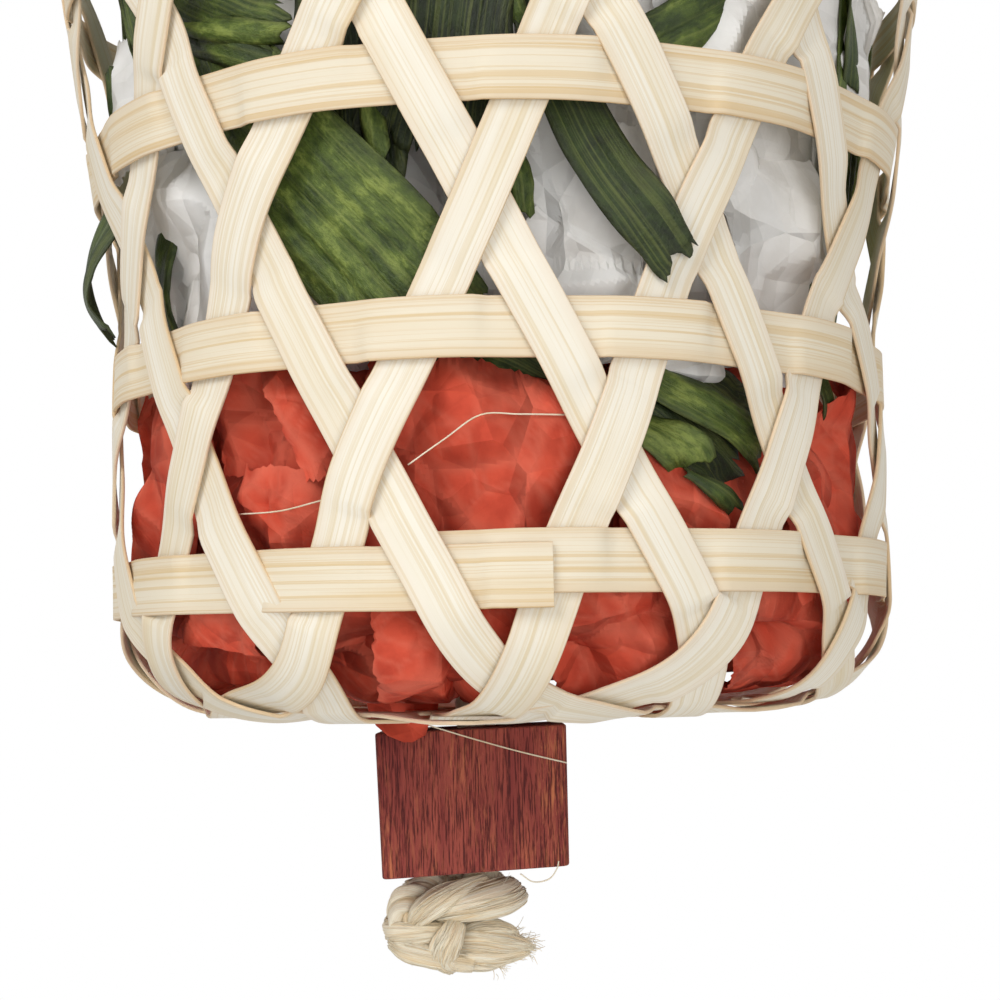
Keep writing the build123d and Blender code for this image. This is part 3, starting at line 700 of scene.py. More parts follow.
# Dried palm leaf: deep green with paler ribs and fine veins along the blade, browner where it is torn, and
# a low waxy shine.
def dried_leaf():
    made, tree, shader = start_finish("dried_palm_leaf", Roughness=0.5, IOR=1.45, Specular_IOR_Level=0.4)
    place = add(tree, "ShaderNodeUVMap", uv_map="grain").outputs["UV"]
    vein = add(tree, "ShaderNodeMapping", {"Vector": place, "Scale": (1 / 60, 1 / 0.45, 1)})
    patch = add(tree, "ShaderNodeMapping", {"Vector": place, "Scale": (1 / 6, 1 / 2.4, 1)})
    veins = add(tree, "ShaderNodeTexNoise", {"Vector": vein.outputs[0], "Scale": 1.0, "Detail": 3.0},
                noise_dimensions="2D")
    patches = add(tree, "ShaderNodeTexNoise", {"Vector": patch.outputs[0], "Scale": 1.0, "Detail": 6.0,
                                               "Roughness": 0.68}, noise_dimensions="2D")
    # Each leaf's tone shifts its green: at random from leaf to leaf, and on two deep scraps as painted
    # shade.
    tone = add(tree, "ShaderNodeAttribute", attribute_name="tone")
    lit = add(tree, "ShaderNodeMath", {0: patches.outputs["Fac"], 1: 1.25, 2: tone.outputs["Fac"]},
              operation="MULTIPLY_ADD")
    base = add(tree, "ShaderNodeValToRGB", {"Fac": lit.outputs[0]})
    ends = base.color_ramp.elements
    for stop, colour in ((ends.new(0.6), "#303F17"), (ends.new(0.85), "#536427"), (ends[0], "#12180A"),
                         (ends[-1], "#7F8D42")):
        stop.color = linear(colour)
    lined = add(tree, "ShaderNodeMapRange", {"Value": veins.outputs["Fac"], "From Min": 0.48,
                                             "From Max": 0.75, "To Max": 0.32})
    veined = add(tree, "ShaderNodeMix", {"Factor": lined.outputs[0], 6: base.outputs["Color"],
                                         7: linear("#8E9650")}, data_type="RGBA")
    torn_edge = add(tree, "ShaderNodeAttribute", attribute_name="near_edge")
    browned = add(tree, "ShaderNodeMath", {0: torn_edge.outputs["Fac"], 1: 0.5}, operation="MULTIPLY")
    edged = add(tree, "ShaderNodeMix", {"Factor": browned.outputs[0], 6: veined.outputs[2],
                                        7: linear("#2A2A14")}, data_type="RGBA")
    tree.links.new(edged.outputs[2], shader.inputs["Base Color"])
    wrinkled = add(tree, "ShaderNodeMath", {0: patches.outputs["Fac"], 1: 6.0, 2: veins.outputs["Fac"]},
                   operation="MULTIPLY_ADD")
    bump = add(tree, "ShaderNodeBump", {"Height": wrinkled.outputs[0], "Strength": 0.6, "Distance": 0.0002})
    tree.links.new(bump.outputs[0], shader.inputs["Normal"])
    return made


palm_leaf = dried_leaf()


def leaf_blade(name, stops, width, twist, tone, seed, node=None):
    """A ribbed strip of leaf along given stops (turn, developed length, inset), turned by twist."""
    draw = np.random.default_rng(seed)
    line = smooth_through(stops, 14)
    count = len(line)
    columns = max(int(width / 0.5), 5)
    place, normal = on_wall(line[:, 1], line[:, 0], line[:, 2])
    along = unit(np.gradient(place, axis=0))
    normal, side = square_to(along, normal)
    part = np.linspace(0, 1, count)
    angle = np.radians(twist) * np.sin(math.pi * (part - 0.5))
    turned = side * np.cos(angle)[:, None] + normal * np.sin(angle)[:, None]
    raised = normal * np.cos(angle)[:, None] - side * np.sin(angle)[:, None]
    half = width / 2 * (0.72 + 0.28 * np.sin(math.pi * (0.12 + 0.8 * part)))
    half = half * (1 + 0.05 * np.sin(9 * part + seed) + 0.03 * np.sin(23 * part + 2 * seed))
    across = np.linspace(-1, 1, columns)
    offset = half[:, None] * across
    pleat = np.arcsin(np.sin(2 * math.pi * offset / rib_spacing + seed)) * 2 / math.pi
    uneven = 0.65 + 0.5 * np.sin(11 * part + 3 * seed)[:, None] * across
    ribs = rib_depth * pleat * (1 - 0.4 * across ** 2) * uneven
    sway = 0.25 * np.sin(7 * part + seed)[:, None] * across - 0.5 * across ** 2
    grid = place[:, None] + turned[:, None] * offset[..., None] + raised[:, None] * (ribs + sway)[..., None]
    length = length_along(place)[-1]
    start = torn(columns, min(0.12, 4 / length), draw)
    slanted = min(0.1, 4 / length) * np.abs(np.cos(2.4 * across + 0.4))
    end = 1 - torn(columns, min(0.25, 7 / length), draw) - slanted
    at = (start + (end - start) * part[:, None]) * (count - 1)
    low = np.minimum(at.astype(int), count - 2)
    share = (at - low)[..., None]
    order = np.arange(columns)[None]
    grid = grid[low, order] * (1 - share) + grid[low + 1, order] * share
    points, faces = thin_sheet(grid, leaf_thickness)
    grain = np.stack([at / (count - 1) * length, offset], -1).reshape(-1, 2) + 40 * seed
    near_edge = np.maximum(np.abs(across)[None] ** 8, np.abs(2 * part - 1)[:, None] ** 20)
    blade = add_piece(name, "basket", palm_leaf, points, faces, np.tile(grain, (2, 1)),
                      near_edge=np.tile(near_edge.ravel(), 2), tone=np.full(len(points), tone))
    if node:
        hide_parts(node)


leaf_strips = (
    (((-52, 195, 5.5), (-50, 165, 7), (-47, 143, 6), (-41, 128, 5), (-33.6, 120.1, 3.8), (-24, 110.3, 2.8),
      (-12.4, 98.9, 3), (-5.6, 92, 5.5)), 19, 6, 0.17),
    (((-6, 186.7, 5.5), (2, 151.7, 8), (7, 129.7, 6), (11, 119, 3.2), (14.4, 112.8, 1.2), (18, 107.5, -1.5),
      (21, 103.8, -1.9), (24.6, 99.4, -1.8)), 7.6, 10, -0.25),
    (((24, 197.7, 5.5), (26, 166.7, 7), (29, 146.7, 6), (31, 125.7, 7)), 12, -15, -0.05),
    (((-66, 199.7, 5.5), (-64, 166.7, 6), (-62, 146.7, 4.5), (-61, 132.7, 5)), 12, 15, 0.05),
    (((-58, 112.7, 5), (-59, 106.7, 3.4), (-59.5, 100.7, 3.4), (-56, 93.7, 5)), 4.2, 20, 0.0),
    (((19, 92.2, 7), (24, 88.2, 5), (31, 85.2, 3.6), (37.5, 82.2, 3.4), (42.5, 79.2, 4), (45, 76.5, 5)),
     5.4, 25, 0.15),
    (((66, 197.7, 5.5), (64, 161.7, 6), (62, 121.7, 4), (60, 93.7, 5)), 12, -12, 0.2),
    (((98, 203.7, 5.5), (96, 161.7, 6), (94, 126.7, 4), (92, 97.7, 5)), 15, 10, 0.35),
    (((128, 194.7, 5.5), (130, 156.7, 6), (132, 119.7, 4), (134, 89.7, 5)), 12, 14, 0.1),
    (((160, 203.7, 5.5), (163, 161.7, 6), (166, 126.7, 4), (168, 100.7, 5)), 16, -8, 0.4),
    (((196, 197.7, 5.5), (197, 156.7, 6), (199, 121.7, 4), (200, 91.7, 5)), 13, 12, 0.15),
    (((226, 202.7, 5.5), (229, 161.7, 6), (232, 121.7, 4), (234, 88.7, 5)), 15, -14, 0.3),
    (((262, 194.7, 5.5), (261, 161.7, 6), (261, 126.7, 4), (260, 101.7, 5)), 12, 10, 0.2),
)
for number, (stops, width, twist, tone) in enumerate(leaf_strips):
    leaf_blade(f"leaf_strip_{number + 1}", stops, width, twist, tone, number + 1, f"leaf_{number + 1}")

leaf_scraps = (
    (((-50, 141.7, 6), (-42, 137.2, 4.5), (-33, 132.7, 4), (-25, 129.2, 5)), 9, 20, 0.05),
    (((-47, 130.7, 6), (-40, 128.2, 5.5), (-33, 125.7, 7)), 5, 25, -0.1),
    # These two wide scraps are toned near black: painted shade for the deep hollow behind the upper windows.
    (((-4, 152, 6.2), (-7, 130, 5.2), (-11, 109, 5.6)), 19, 6, -0.45),
    (((-19, 148.7, 7), (-20, 126.7, 5.8), (-21, 104, 6.2)), 15, -6, -0.4),
    (((-17, 124.7, 5.5), (-16, 117.7, 4.6), (-15, 111.7, 5)), 3, 20, 0.2),
    (((-3, 142.7, 8), (0, 133.7, 6), (3.5, 127.2, 6.5)), 7, 20, 0.15),
    (((39, 139.7, 4.5), (31, 133.7, 4), (24, 129.7, 4), (17, 125.7, 6)), 8, 15, 0.05),
    (((57, 143.7, 4), (59, 133.7, 3), (62, 126.7, 4)), 4, 40, -0.05),
    (((-15, 94.7, 7), (-6, 92.2, 7), (3, 89.2, 6.8), (10, 85.2, 7.5)), 9, 10, -0.05),
    (((23, 90, 6.5), (32, 84, 5.6), (44, 78, 6)), 15, 6, -0.35),
    (((16, 84.5, 6), (22.5, 81.5, 3.6), (27, 79, 3.4), (30, 76.4, 5)), 6.4, 35, 0.3),
    (((25, 77.7, 3.2), (31, 74.7, 2.4), (36, 71.2, 3)), 2.6, 30, -0.05),
    (((3, 115.7, 5.5), (3.6, 110.7, 4.4), (4, 105.2, 5.5)), 3, 20, 0.1),
    (((-77, 119.7, 2.5), (-80, 112.7, -2.4), (-82, 106, -3.4), (-80, 97, 1.6)), 8, 15, -0.1),
    (((60, 94.2, 6), (63, 89.7, 4.6), (67, 84.7, 5.5)), 5, 15, -0.05),
    (((-48, 92.7, 8), (-47, 85.7, 7), (-45.5, 79.7, 8)), 4, 15, 0.1),
    (((-70, 137.7, 3.2), (-71, 129.7, 3), (-72, 121.7, 4)), 2.4, 30, -0.1),
    (((-50, 137.5, 5), (-41, 134.5, 3.6), (-31, 131.5, 3.4), (-24, 130.5, 5)), 3.2, 30, 0.25),
    (((-49, 134, 5.5), (-40, 131.5, 4), (-31, 128, 4), (-25, 126.5, 6)), 3.6, -25, 0.05),
)
for number, (stops, width, twist, tone) in enumerate(leaf_scraps):
    leaf_blade(f"leaf_scrap_{number + 1}", stops, width, twist, tone, 30 + number)

# Tufts
# Half a sheet of each tissue, gathered round the rope and heaped on the rest, so that it fills the mouth
# and stands above the rim.
tuft_profile = ((9.5, 128), (11, 139), (19, 147), (28, 149), (38, 145.5), (44, 138), (47.5, 126),
                (48.5, 113))
red_tuft_swells = ((-1.5, -1.0, -2.0), (2.0, 1.5, 2.0), (-1.0, -2.0, -3.0), (2.5, 1.0, 2.5),
                   (-1.5, -1.5, -1.5), (1.0, 0.5, 1.0))
white_tuft_swells = ((1.0, 1.0, 1.0), (-1.5, -1.5, -3.0), (2.5, 1.5, 2.0), (-1.0, -1.0, -2.0),
                     (2.0, 1.0, 2.5), (-1.0, -0.5, -1.5))
swell_turns = np.linspace(2, 178, 6)
tuft_creases = ((20, 1.9), (9, 1.0), (4, 0.2))
tuft_mm_per_degree = 0.6
rope_room = 9.1


def tuft_sheet(name, node, finish, first_turn, swells, seed):
    """A crumpled half ring of tissue over the profile's pairs of radius and height. The swells say, section
    by section, how far its side, shoulder and crown stand out."""
    profile = smooth_through(tuft_profile, 9)
    turns = np.arange(0.8, 180, 1.4)
    side, shoulder, crown = (np.interp(turns, swell_turns, swell) for swell in np.transpose(swells))
    run = length_along(profile)
    place = np.stack(np.broadcast_arrays((first_turn + turns)[None] * tuft_mm_per_degree, run[:, None]), -1)
    lift = np.zeros(place.shape[:-1])
    crease = np.zeros(place.shape[:-1])
    for number, (spacing, depth) in enumerate(tuft_creases):
        height, near = crumple(place, spacing, 100 * seed + number)
        lift = lift + height * depth
        crease = np.maximum(crease, near * (1 - 0.25 * number))
    pleat = np.sin(np.radians(turns * 13) + 2.5 * np.sin(np.radians(turns * 3) + seed))
    lift = lift * np.clip(run / 14, 0.15, 1)[:, None] + 1.2 * pleat * np.exp(-run / 16)[:, None] - 0.4
    course = unit(np.gradient(profile, axis=0))
    outward = np.stack([-course[:, 1], course[:, 0]], -1)
    wide = np.interp(profile[:, 0], (28, 44), (0, 1))[:, None]
    high = np.interp(profile[:, 1], (112, 140), (0, 1))[:, None]
    rise = (crown * (1 - wide) + shoulder * wide) * high * np.clip((profile[:, :1] - 9) / 19, 0, 1)
    radius = np.maximum(profile[:, :1] + side * wide + outward[:, :1] * lift, rope_room)
    height = profile[:, 1:] + rise + outward[:, 1:] * lift
    east, north = np.sin(np.radians(first_turn + turns)), -np.cos(np.radians(first_turn + turns))
    grid = np.stack([basket_axis_x + east * radius, north * radius, floor_level + height], -1)
    points, faces = thin_sheet(grid, tissue_thickness)
    grain = np.tile(place.reshape(-1, 2), (2, 1)) + 90 * seed
    tuft = add_piece(name, "basket", finish, points, faces, grain, crease=np.tile(crease.ravel(), 2))
    tuft.data.set_sharp_from_angle(angle=crease_angle)
    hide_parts(node)


tuft_sheet("red_tissue_heap", "red_tuft", red_paper, 0, red_tuft_swells, 8)
tuft_sheet("white_tissue_heap", "white_tuft", white_paper, 180, white_tuft_swells, 9)

# Rope
# Three-strand sisal, 6 mm thick, that everything is strung on. It runs straight down through the basket
# and the block from the eye to the end knot, kept taut by their weight.
strand_radius = 1.39
strand_offset = 1.61
strand_pitch = 20.0
eye_knot_level = -57.75
end_knot_level = -241.54


# Sisal: combed leaf fibre, pale straw, ivory in some locks and warmer in others at random, and drawn along
# the strand in fine hard lines with a silky shine.
def sisal_fibre():
    made, tree, shader = start_finish("combed_sisal", Roughness=0.5, IOR=1.5, Specular_IOR_Level=0.35)
    place = add(tree, "ShaderNodeUVMap", uv_map="grain").outputs["UV"]
    drawn = add(tree, "ShaderNodeMapping", {"Vector": place, "Scale": (1 / 16, 1 / 0.13, 1)})
    lock = add(tree, "ShaderNodeMapping", {"Vector": place, "Scale": (1 / 9, 1 / 1.8, 1)})
    fibres = add(tree, "ShaderNodeTexNoise", {"Vector": drawn.outputs[0], "Scale": 1.0, "Detail": 3.0,
                                              "Roughness": 0.6}, noise_dimensions="2D")
    locks = add(tree, "ShaderNodeTexNoise", {"Vector": lock.outputs[0], "Scale": 1.0, "Detail": 2.0},
                noise_dimensions="2D")
    straw = add(tree, "ShaderNodeMapRange", {"Value": locks.outputs["Fac"], "From Min": 0.42,
                                             "From Max": 0.76, "To Max": 0.6})
    dark = add(tree, "ShaderNodeMapRange", {"Value": fibres.outputs["Fac"], "From Min": 0.5,
                                            "From Max": 0.36, "To Max": 0.38})
    toned = add(tree, "ShaderNodeMix", {"Factor": straw.outputs[0], 6: linear("#FAF2DC"),
                                        7: linear("#F1D095")}, data_type="RGBA")
    lined = add(tree, "ShaderNodeMix", {"Factor": dark.outputs[0], 6: toned.outputs[2],
                                        7: linear("#DBAB66")}, data_type="RGBA")
    tree.links.new(lined.outputs[2], shader.inputs["Base Color"])
    bump = add(tree, "ShaderNodeBump", {"Height": fibres.outputs["Fac"], "Strength": 0.6,
                                        "Distance": 0.0003})
    tree.links.new(bump.outputs[0], shader.inputs["Normal"])
    return made


sisal = sisal_fibre()


def fibre_tube(line, wide, deep, facing, seed, sides=26, flute=0.06, twist=0.0):
    """A strand along a line, fluted as its fibres bunch together; wide and deep are its half sizes across
    and along facing. Twist is how many degrees its flutes turn in each millimetre."""
    draw = np.random.default_rng(seed)
    line = np.asarray(line, float)
    along = unit(np.gradient(line, axis=0))
    outward, side = square_to(along, np.broadcast_to(facing, line.shape))
    run = length_along(line)[:, None]
    around = np.linspace(0, 2 * math.pi, sides, endpoint=False)
    turned = around + np.radians(twist) * run
    bunch = np.zeros(turned.shape)
    for lobes, depth in ((3, 1.0), (5, 1.0), (9, 0.8)):
        bunch += depth * np.sin(lobes * turned + draw.uniform(0, 6.3) + run / draw.uniform(4, 9))
    size = 1 + flute * bunch
    wide = np.broadcast_to(wide, len(line))[:, None]
    deep = np.broadcast_to(deep, len(line))[:, None]
    points = (line[:, None] + side[:, None] * (np.cos(around) * wide * size)[..., None]
              + outward[:, None] * (np.sin(around) * deep * size)[..., None])
    grid = np.arange(points.shape[0] * sides).reshape(-1, sides)
    ahead = np.roll(grid, -1, axis=1)
    faces = np.stack([grid[:-1], ahead[:-1], ahead[1:], grid[1:]], -1).reshape(-1, 4).tolist()
    faces += [grid[0][::-1].tolist(), grid[-1].tolist()]
    grain = np.stack(np.broadcast_arrays(run, turned * (wide + deep) / 2), -1).reshape(-1, 2) + 30 * seed
    return points.reshape(-1, 3), faces, grain


def gather(parts):
    """Several meshes as one: points, faces and grain, with the faces renumbered."""
    points, faces, grain = [], [], []
    for part_points, part_faces, part_grain in parts:
        faces += [[corner + len(points) for corner in face] for face in part_faces]
        points += part_points.tolist()
        grain += part_grain.tolist()
    return points, faces, np.array(grain)


def laid_rope(line, facing, seed, offset=strand_offset, radius=strand_radius, pitch=strand_pitch):
    """Three strands laid round a line."""
    line = np.asarray(line, float)
    along = unit(np.gradient(line, axis=0))
    outward, side = square_to(along, np.broadcast_to(facing, line.shape))
    lay = 2 * math.pi * length_along(line) / pitch
    strands = []
    for strand in range(3):
        angle = (lay + 2 * math.pi * strand / 3)[:, None]
        away = side * np.cos(angle) + outward * np.sin(angle)
        strands.append(fibre_tube(line + away * offset, radius, radius, away, seed + strand, twist=-9))
    return strands


route = bpy.data.curves.new("rope_route", "CURVE")
route.dimensions = "3D"
route.resolution_u = 40
spline = route.splines.new("NURBS")
rope_stops = (eye_knot_level, -104, -150, -196, end_knot_level)
spline.points.add(len(rope_stops) - 1)
for point, level in zip(spline.points, rope_stops):
    point.co = (0, 0, level * mm, 1)
spline.order_u = 3
spline.use_endpoint_u = True
holder = bpy.data.objects.new("rope_route", route)
traced = bpy.data.meshes.new_from_object(holder)
rope_line = np.array([vertex.co[:] for vertex in traced.vertices]) / mm
bpy.data.objects.remove(holder)
rope = add_piece("rope_strands", "rope", sisal, *gather(laid_rope(rope_line, (0, -1, 0), 60)))
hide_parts("rope")

# Wood block
# A piece sawn off a pine batten, drilled through for the rope and soaked in red dye. The saw left it a
# little out of square, with rough faces and an open grain that runs up and down.
block_middle = np.array([0, 0, -226.32])
block_tilt = math.radians(2.5)
block_half = np.array([12.5, 12.5, 9.5])
block_bore = 4.0
block_side_points = 40
block_corner_power = 26


# Dye-soaked pine: maroon, with hairline dark pores along the grain and bare orange streaks where the dye
# didn't take, and a dull, rough-sawn surface.
def dyed_pine():
    made, tree, shader = start_finish("dyed_pine", Roughness=0.75, IOR=1.5, Specular_IOR_Level=0.25)
    place = add(tree, "ShaderNodeTexCoord").outputs["Object"]
    shares = []
    for across, along, low, high, most in ((2.2, 30, 0.4, 0.66, 1.0), (5, 24, 0.42, 0.62, 1.0),
                                           (0.6, 4.5, 0.5, 0.68, 1.0), (0.24, 1.1, 0.5, 0.72, 0.6),
                                           (0.18, 3.5, 0.5, 0.4, 0.85)):
        drawn = add(tree, "ShaderNodeMapping", {"Vector": place, "Scale": (1000 / across, 1000 / across,
                                                                           1000 / along)})
        noise = add(tree, "ShaderNodeTexNoise", {"Vector": drawn.outputs[0], "Scale": 1.0, "Detail": 3.0,
                                                 "Roughness": 0.6})
        shares.append(add(tree, "ShaderNodeMapRange", {"Value": noise.outputs["Fac"], "From Min": low,
                                                       "From Max": high, "To Max": most}).outputs[0])
    band, patch, fleck, speck, pore = shares
    either = add(tree, "ShaderNodeMath", {0: fleck, 1: speck}, operation="MAXIMUM")
    bare = add(tree, "ShaderNodeMath", {0: either.outputs[0], 1: patch}, operation="MULTIPLY")
    grain = add(tree, "ShaderNodeMix", {"Factor": band, 6: linear("#873A35"), 7: linear("#A34F42")},
                data_type="RGBA")
    flecked = add(tree, "ShaderNodeMix", {"Factor": bare.outputs[0], 6: grain.outputs[2],
                                          7: linear("#C87850")}, data_type="RGBA")
    pored = add(tree, "ShaderNodeMix", {"Factor": pore, 6: flecked.outputs[2], 7: linear("#45191A")},
                data_type="RGBA")
    tree.links.new(pored.outputs[2], shader.inputs["Base Color"])
    bump = add(tree, "ShaderNodeBump", {"Height": pore, "Strength": 0.6, "Distance": -0.0002})
    tree.links.new(bump.outputs[0], shader.inputs["Normal"])
    return made


def sawn_block():
    """Points and faces of the block: the outside from top to bottom, then up through the bore."""
    draw = np.random.default_rng(71)
    count = 4 * block_side_points
    step = np.sin(np.linspace(-math.pi / 2, math.pi / 2, block_side_points, endpoint=False))
    edge = np.ones(block_side_points)
    square = np.concatenate([np.column_stack(side) for side in ((step, -edge), (edge, step), (-step, edge),
                                                                 (-edge, -step))])
    reach = (np.abs(square) ** block_corner_power).sum(axis=1, keepdims=True) ** (1 / block_corner_power)
    square = square / reach
    rough = draw.normal(size=(count, 1)) * 0.035
    rings = []
    for part, ease in ((1, 0.6), (1, 0.2), (0.99, 0.05), (0.97, 0), (0.5, 0), (0, 0), (-0.5, 0), (-0.97, 0),
                       (-0.99, 0.05), (-1, 0.2), (-1, 0.6)):
        outline = square * (block_half[0] - ease + rough)
        aside = -0.44 + square[:, 0] * (0.4 + 0.18 * part) + 0.22 * part
        height = (block_half[2] + 0.15) * part - 0.25 - square[:, 0] * (0.02 + 0.17 * part)
        rings.append(np.column_stack([outline[:, 0] + aside, outline[:, 1], height]))
    bore = square / np.linalg.norm(square, axis=1, keepdims=True) * block_bore
    for part in (-1, 1):
        rings.append(np.column_stack([bore, np.full(count, block_half[2] * part)]))
    points = np.concatenate(rings)
    grid = np.arange(len(points)).reshape(-1, count)
    below = np.roll(grid, -1, axis=0)
    faces = np.stack([grid, below, np.roll(below, -1, axis=1), np.roll(grid, -1, axis=1)], -1).reshape(-1, 4)
    lean = np.array(Matrix.Rotation(-block_tilt, 3, "Y"))
    return points @ lean.T + block_middle, faces.tolist()


block = add_piece("sawn_wood_block", "block", dyed_pine(), *sawn_block())
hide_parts("wood_block")

# End knot
# The rope's end in an overhand knot that the block rests on. Past the knot the strands are unlaid, so that
# the turns open into flat locks of fibre and the tail fans out to the right.
knot_locks = (
    ((-9.4, -4.5, -243.9, 0.9), (-7.6, -6, -242, 1.7), (-5, -6.4, -240.3, 1.8), (-2.2, -5.6, -239, 1.3),
     (1, -3.5, -237.9, 0.8)),
    ((-6, -4.5, -242.6, 1), (-3, -6, -241.5, 1.9), (0.3, -6, -240.8, 2.4), (3.4, -4.6, -240.2, 2.4),
     (5, -1, -239.9, 2.2), (4.2, 2.6, -240.2, 2), (1, 5, -241, 2), (-4, 5.6, -242, 2)),
    ((-4.5, -4.5, -245, 1.2), (-8, -5.2, -245.2, 1.6), (-11, -4.2, -245.4, 2), (-12, -1, -245.4, 2),
     (-11.4, 2.5, -245, 2), (-8, 5, -244.5, 2), (-4, 5.5, -244, 1.9)),
    ((-12, -2.5, -246.5, 1.2), (-9.8, -4.8, -247.5, 1.6), (-7, -5.4, -248.2, 1.6), (-4, -5, -248.8, 1.5),
     (-1, -4, -249.4, 1.3)),
    ((-3, -5.5, -243.6, 1.2), (-3.8, -6.4, -245.2, 1.7), (-4.8, -6.2, -247, 2), (-5, -5.4, -248.6, 1.8),
     (-3.5, -4.5, -249.8, 1.2)),
    ((-3.5, -3.5, -246, 1.2), (-0.5, -4.2, -246.4, 1.7), (3, -3.8, -246.9, 1.5), (6, -3, -247.3, 0.9),
     (7.6, -2.6, -247.6, 0.3)),
    ((-4, -3, -248, 1.3), (-1, -3.8, -248.4, 1.6), (2.5, -3.5, -248.6, 1.4), (5.5, -3, -248.4, 0.8),
     (7, -2.6, -248.2, 0.25)),
    ((-4, -3.5, -248.6, 1.2), (-1.5, -3.8, -249.4, 1.2), (1.2, -3.4, -249.8, 0.9), (3, -3, -249.6, 0.35)),
    ((-2.5, -3, -245.4, 1), (-0.2, -3.9, -244.7, 1.2), (2.5, -3.6, -244.7, 1.1), (4.6, -3, -245.2, 0.6),
     (5.4, -2.6, -245.9, 0.2)),
    ((-4, 2, -246.5, 1.4), (-0.5, 1.6, -246.6, 1.8), (3, 1, -247, 1.5), (5.8, 0.6, -247.3, 0.9),
     (7.2, 0.4, -247.6, 0.3)),
    ((-5, 1.5, -248, 1.4), (-1.5, 1.5, -248.8, 1.6), (2, 1, -249, 1.3), (4.8, 0.5, -248.6, 0.6)),
    ((-10, 1, -239.8, 1.6), (-6, 4.5, -239.4, 1.8), (-1, 4.5, -239.2, 1.8), (3, 2, -239, 1.4)),
    ((-9.5, 3, -247, 1.5), (-6, 5, -247.6, 1.7), (-2, 4.6, -247.6, 1.6), (1.5, 2.6, -247.4, 1.2)),
    ((-4.2, 0, -237.8, 2.4), (-4.4, 0, -241.5, 3.9), (-4.4, 0, -245.5, 3.9), (-4, -0.5, -248, 2.6)),
)
knot_heart = np.array([-4.4, 0, -243.5])


def lock_fibres(line, wide, deep, outward, count, seed):
    """Single fibres that run along a lock's surface, drift round it and stand off it here and there."""
    draw = np.random.default_rng(seed)
    raised, side = square_to(unit(np.gradient(line, axis=0)), outward)
    part = np.linspace(0, 1, len(line))
    fibres = []
    for number in range(count):
        angle = draw.uniform(0, 2 * math.pi) + draw.normal() * 0.6 * part
        proud = 1.02 + draw.uniform(0, 0.14) * np.sin(draw.uniform(3, 9) * part + draw.uniform(0, 6)) ** 2
        path = (line + side * (np.cos(angle) * wide * proud)[:, None]
                + raised * (np.sin(angle) * deep * proud)[:, None])
        fibres.append(fibre_tube(path[::2], 0.07, 0.07, raised[::2], seed + number, sides=4, flute=0))
    return fibres


knot_parts = []
for number, stops in enumerate(knot_locks):
    lock = smooth_through(stops, 10)
    line, wide = lock[:, :3], lock[:, 3]
    deep = np.minimum(wide, 1.5) * 0.85
    outward = (line - knot_heart) * (0.4, 1, 1)
    knot_parts.append(fibre_tube(line, wide, deep, outward, 80 + number, flute=0.07))
    knot_parts += lock_fibres(line, wide, deep, outward, 46, 600 + 50 * number)
shoulder = ((-2.5, 1, -238.8), (-6.6, -0.6, -239.3), (-9.6, -2.2, -240.7), (-11, -2.8, -242.4),
            (-10.2, -3.2, -244.2), (-7.5, -3.4, -245.2))
knot_parts += laid_rope(smooth_through(shoulder, 10), (0, -1, 0.2), 110, offset=1.2, radius=1.1, pitch=11)


def stray_hairs(roots, heading, count, length, seed, radius=0.06):
    """Loose fibres that start near the roots, leave along heading and curl a little."""
    draw = np.random.default_rng(seed)
    hairs = []
    for number in range(count):
        root = np.asarray(roots[number % len(roots)], float) + draw.normal(size=3) * 0.5
        way = unit(np.asarray(heading, float) + draw.normal(size=3) * 0.45)
        bend = draw.normal(size=3) * 0.35
        reach = np.linspace(0, 1, 7)[:, None] * length * draw.uniform(0.5, 1.1)
        line = root + way * reach + bend * reach ** 2 / length
        thinning = np.linspace(radius, radius * 0.5, 7)
        hairs.append(fibre_tube(line, thinning, thinning, np.cross(way, (0.3, 0.5, 0.8)), seed + number,
                                sides=5, flute=0))
    return hairs


tail_tips = ((6.6, -2.8, -247.4), (6, -2.7, -248.2), (2.4, -3.1, -249.6), (5, -2.8, -245.6),
             (6.4, 0.5, -247.4), (4.2, 0.6, -248.7))
turn_fronts = ((-11, -3, -243), (-4, -6.5, -240), (3, -5, -240), (-9, -5, -247))
knot_parts += stray_hairs(tail_tips, (1, 0, -0.15), 150, 1.7, 200)
knot_parts += stray_hairs(turn_fronts, (-0.2, -0.8, 0.1), 24, 2.2, 300, radius=0.04)
knot = add_piece("frayed_end_knot", "rope", sisal, *gather(knot_parts))
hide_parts("end_knot")

# Caught fibres
# Single sisal fibres, shed while the rope was threaded through. Two are caught in the weave of the wall, and
# two cling to the block's rough front and lower edge.
caught_radius = 0.1
wall_fibre_inset = 1.35
block_fibre_front = -12.95
wall_fibres = (((-37.6, 73.2), (-30.1, 73.2), (-23.2, 74.2)),
               ((-11.7, 77.8), (-6.9, 80.7), (-2.3, 83.4), (2.7, 83.4), (8.5, 83.3)))
block_fibres = (((-6.9, -216.1), (-0.7, -218.1), (6.1, -220.1), (12.4, -221.7)),
                ((5.8, -236.4), (7.5, -237.5), (9.6, -237.2), (10.7, -235.9), (11, -234.8)))
caught = {"basket": [on_wall(*smooth_through(stops, 6).T[::-1], wall_fibre_inset)[0]
                     for stops in wall_fibres],
          "block": [smooth_through([(x, block_fibre_front, z) for x, z in stops], 6)
                    for stops in block_fibres]}
for body, lines in caught.items():
    fibres = [fibre_tube(line, caught_radius, caught_radius, (0, -0.6, 0.8), 500 + number, sides=6, flute=0)
              for number, line in enumerate(lines)]
    fibre = add_piece(f"caught_fibres_{body}", body, sisal, *gather(fibres))

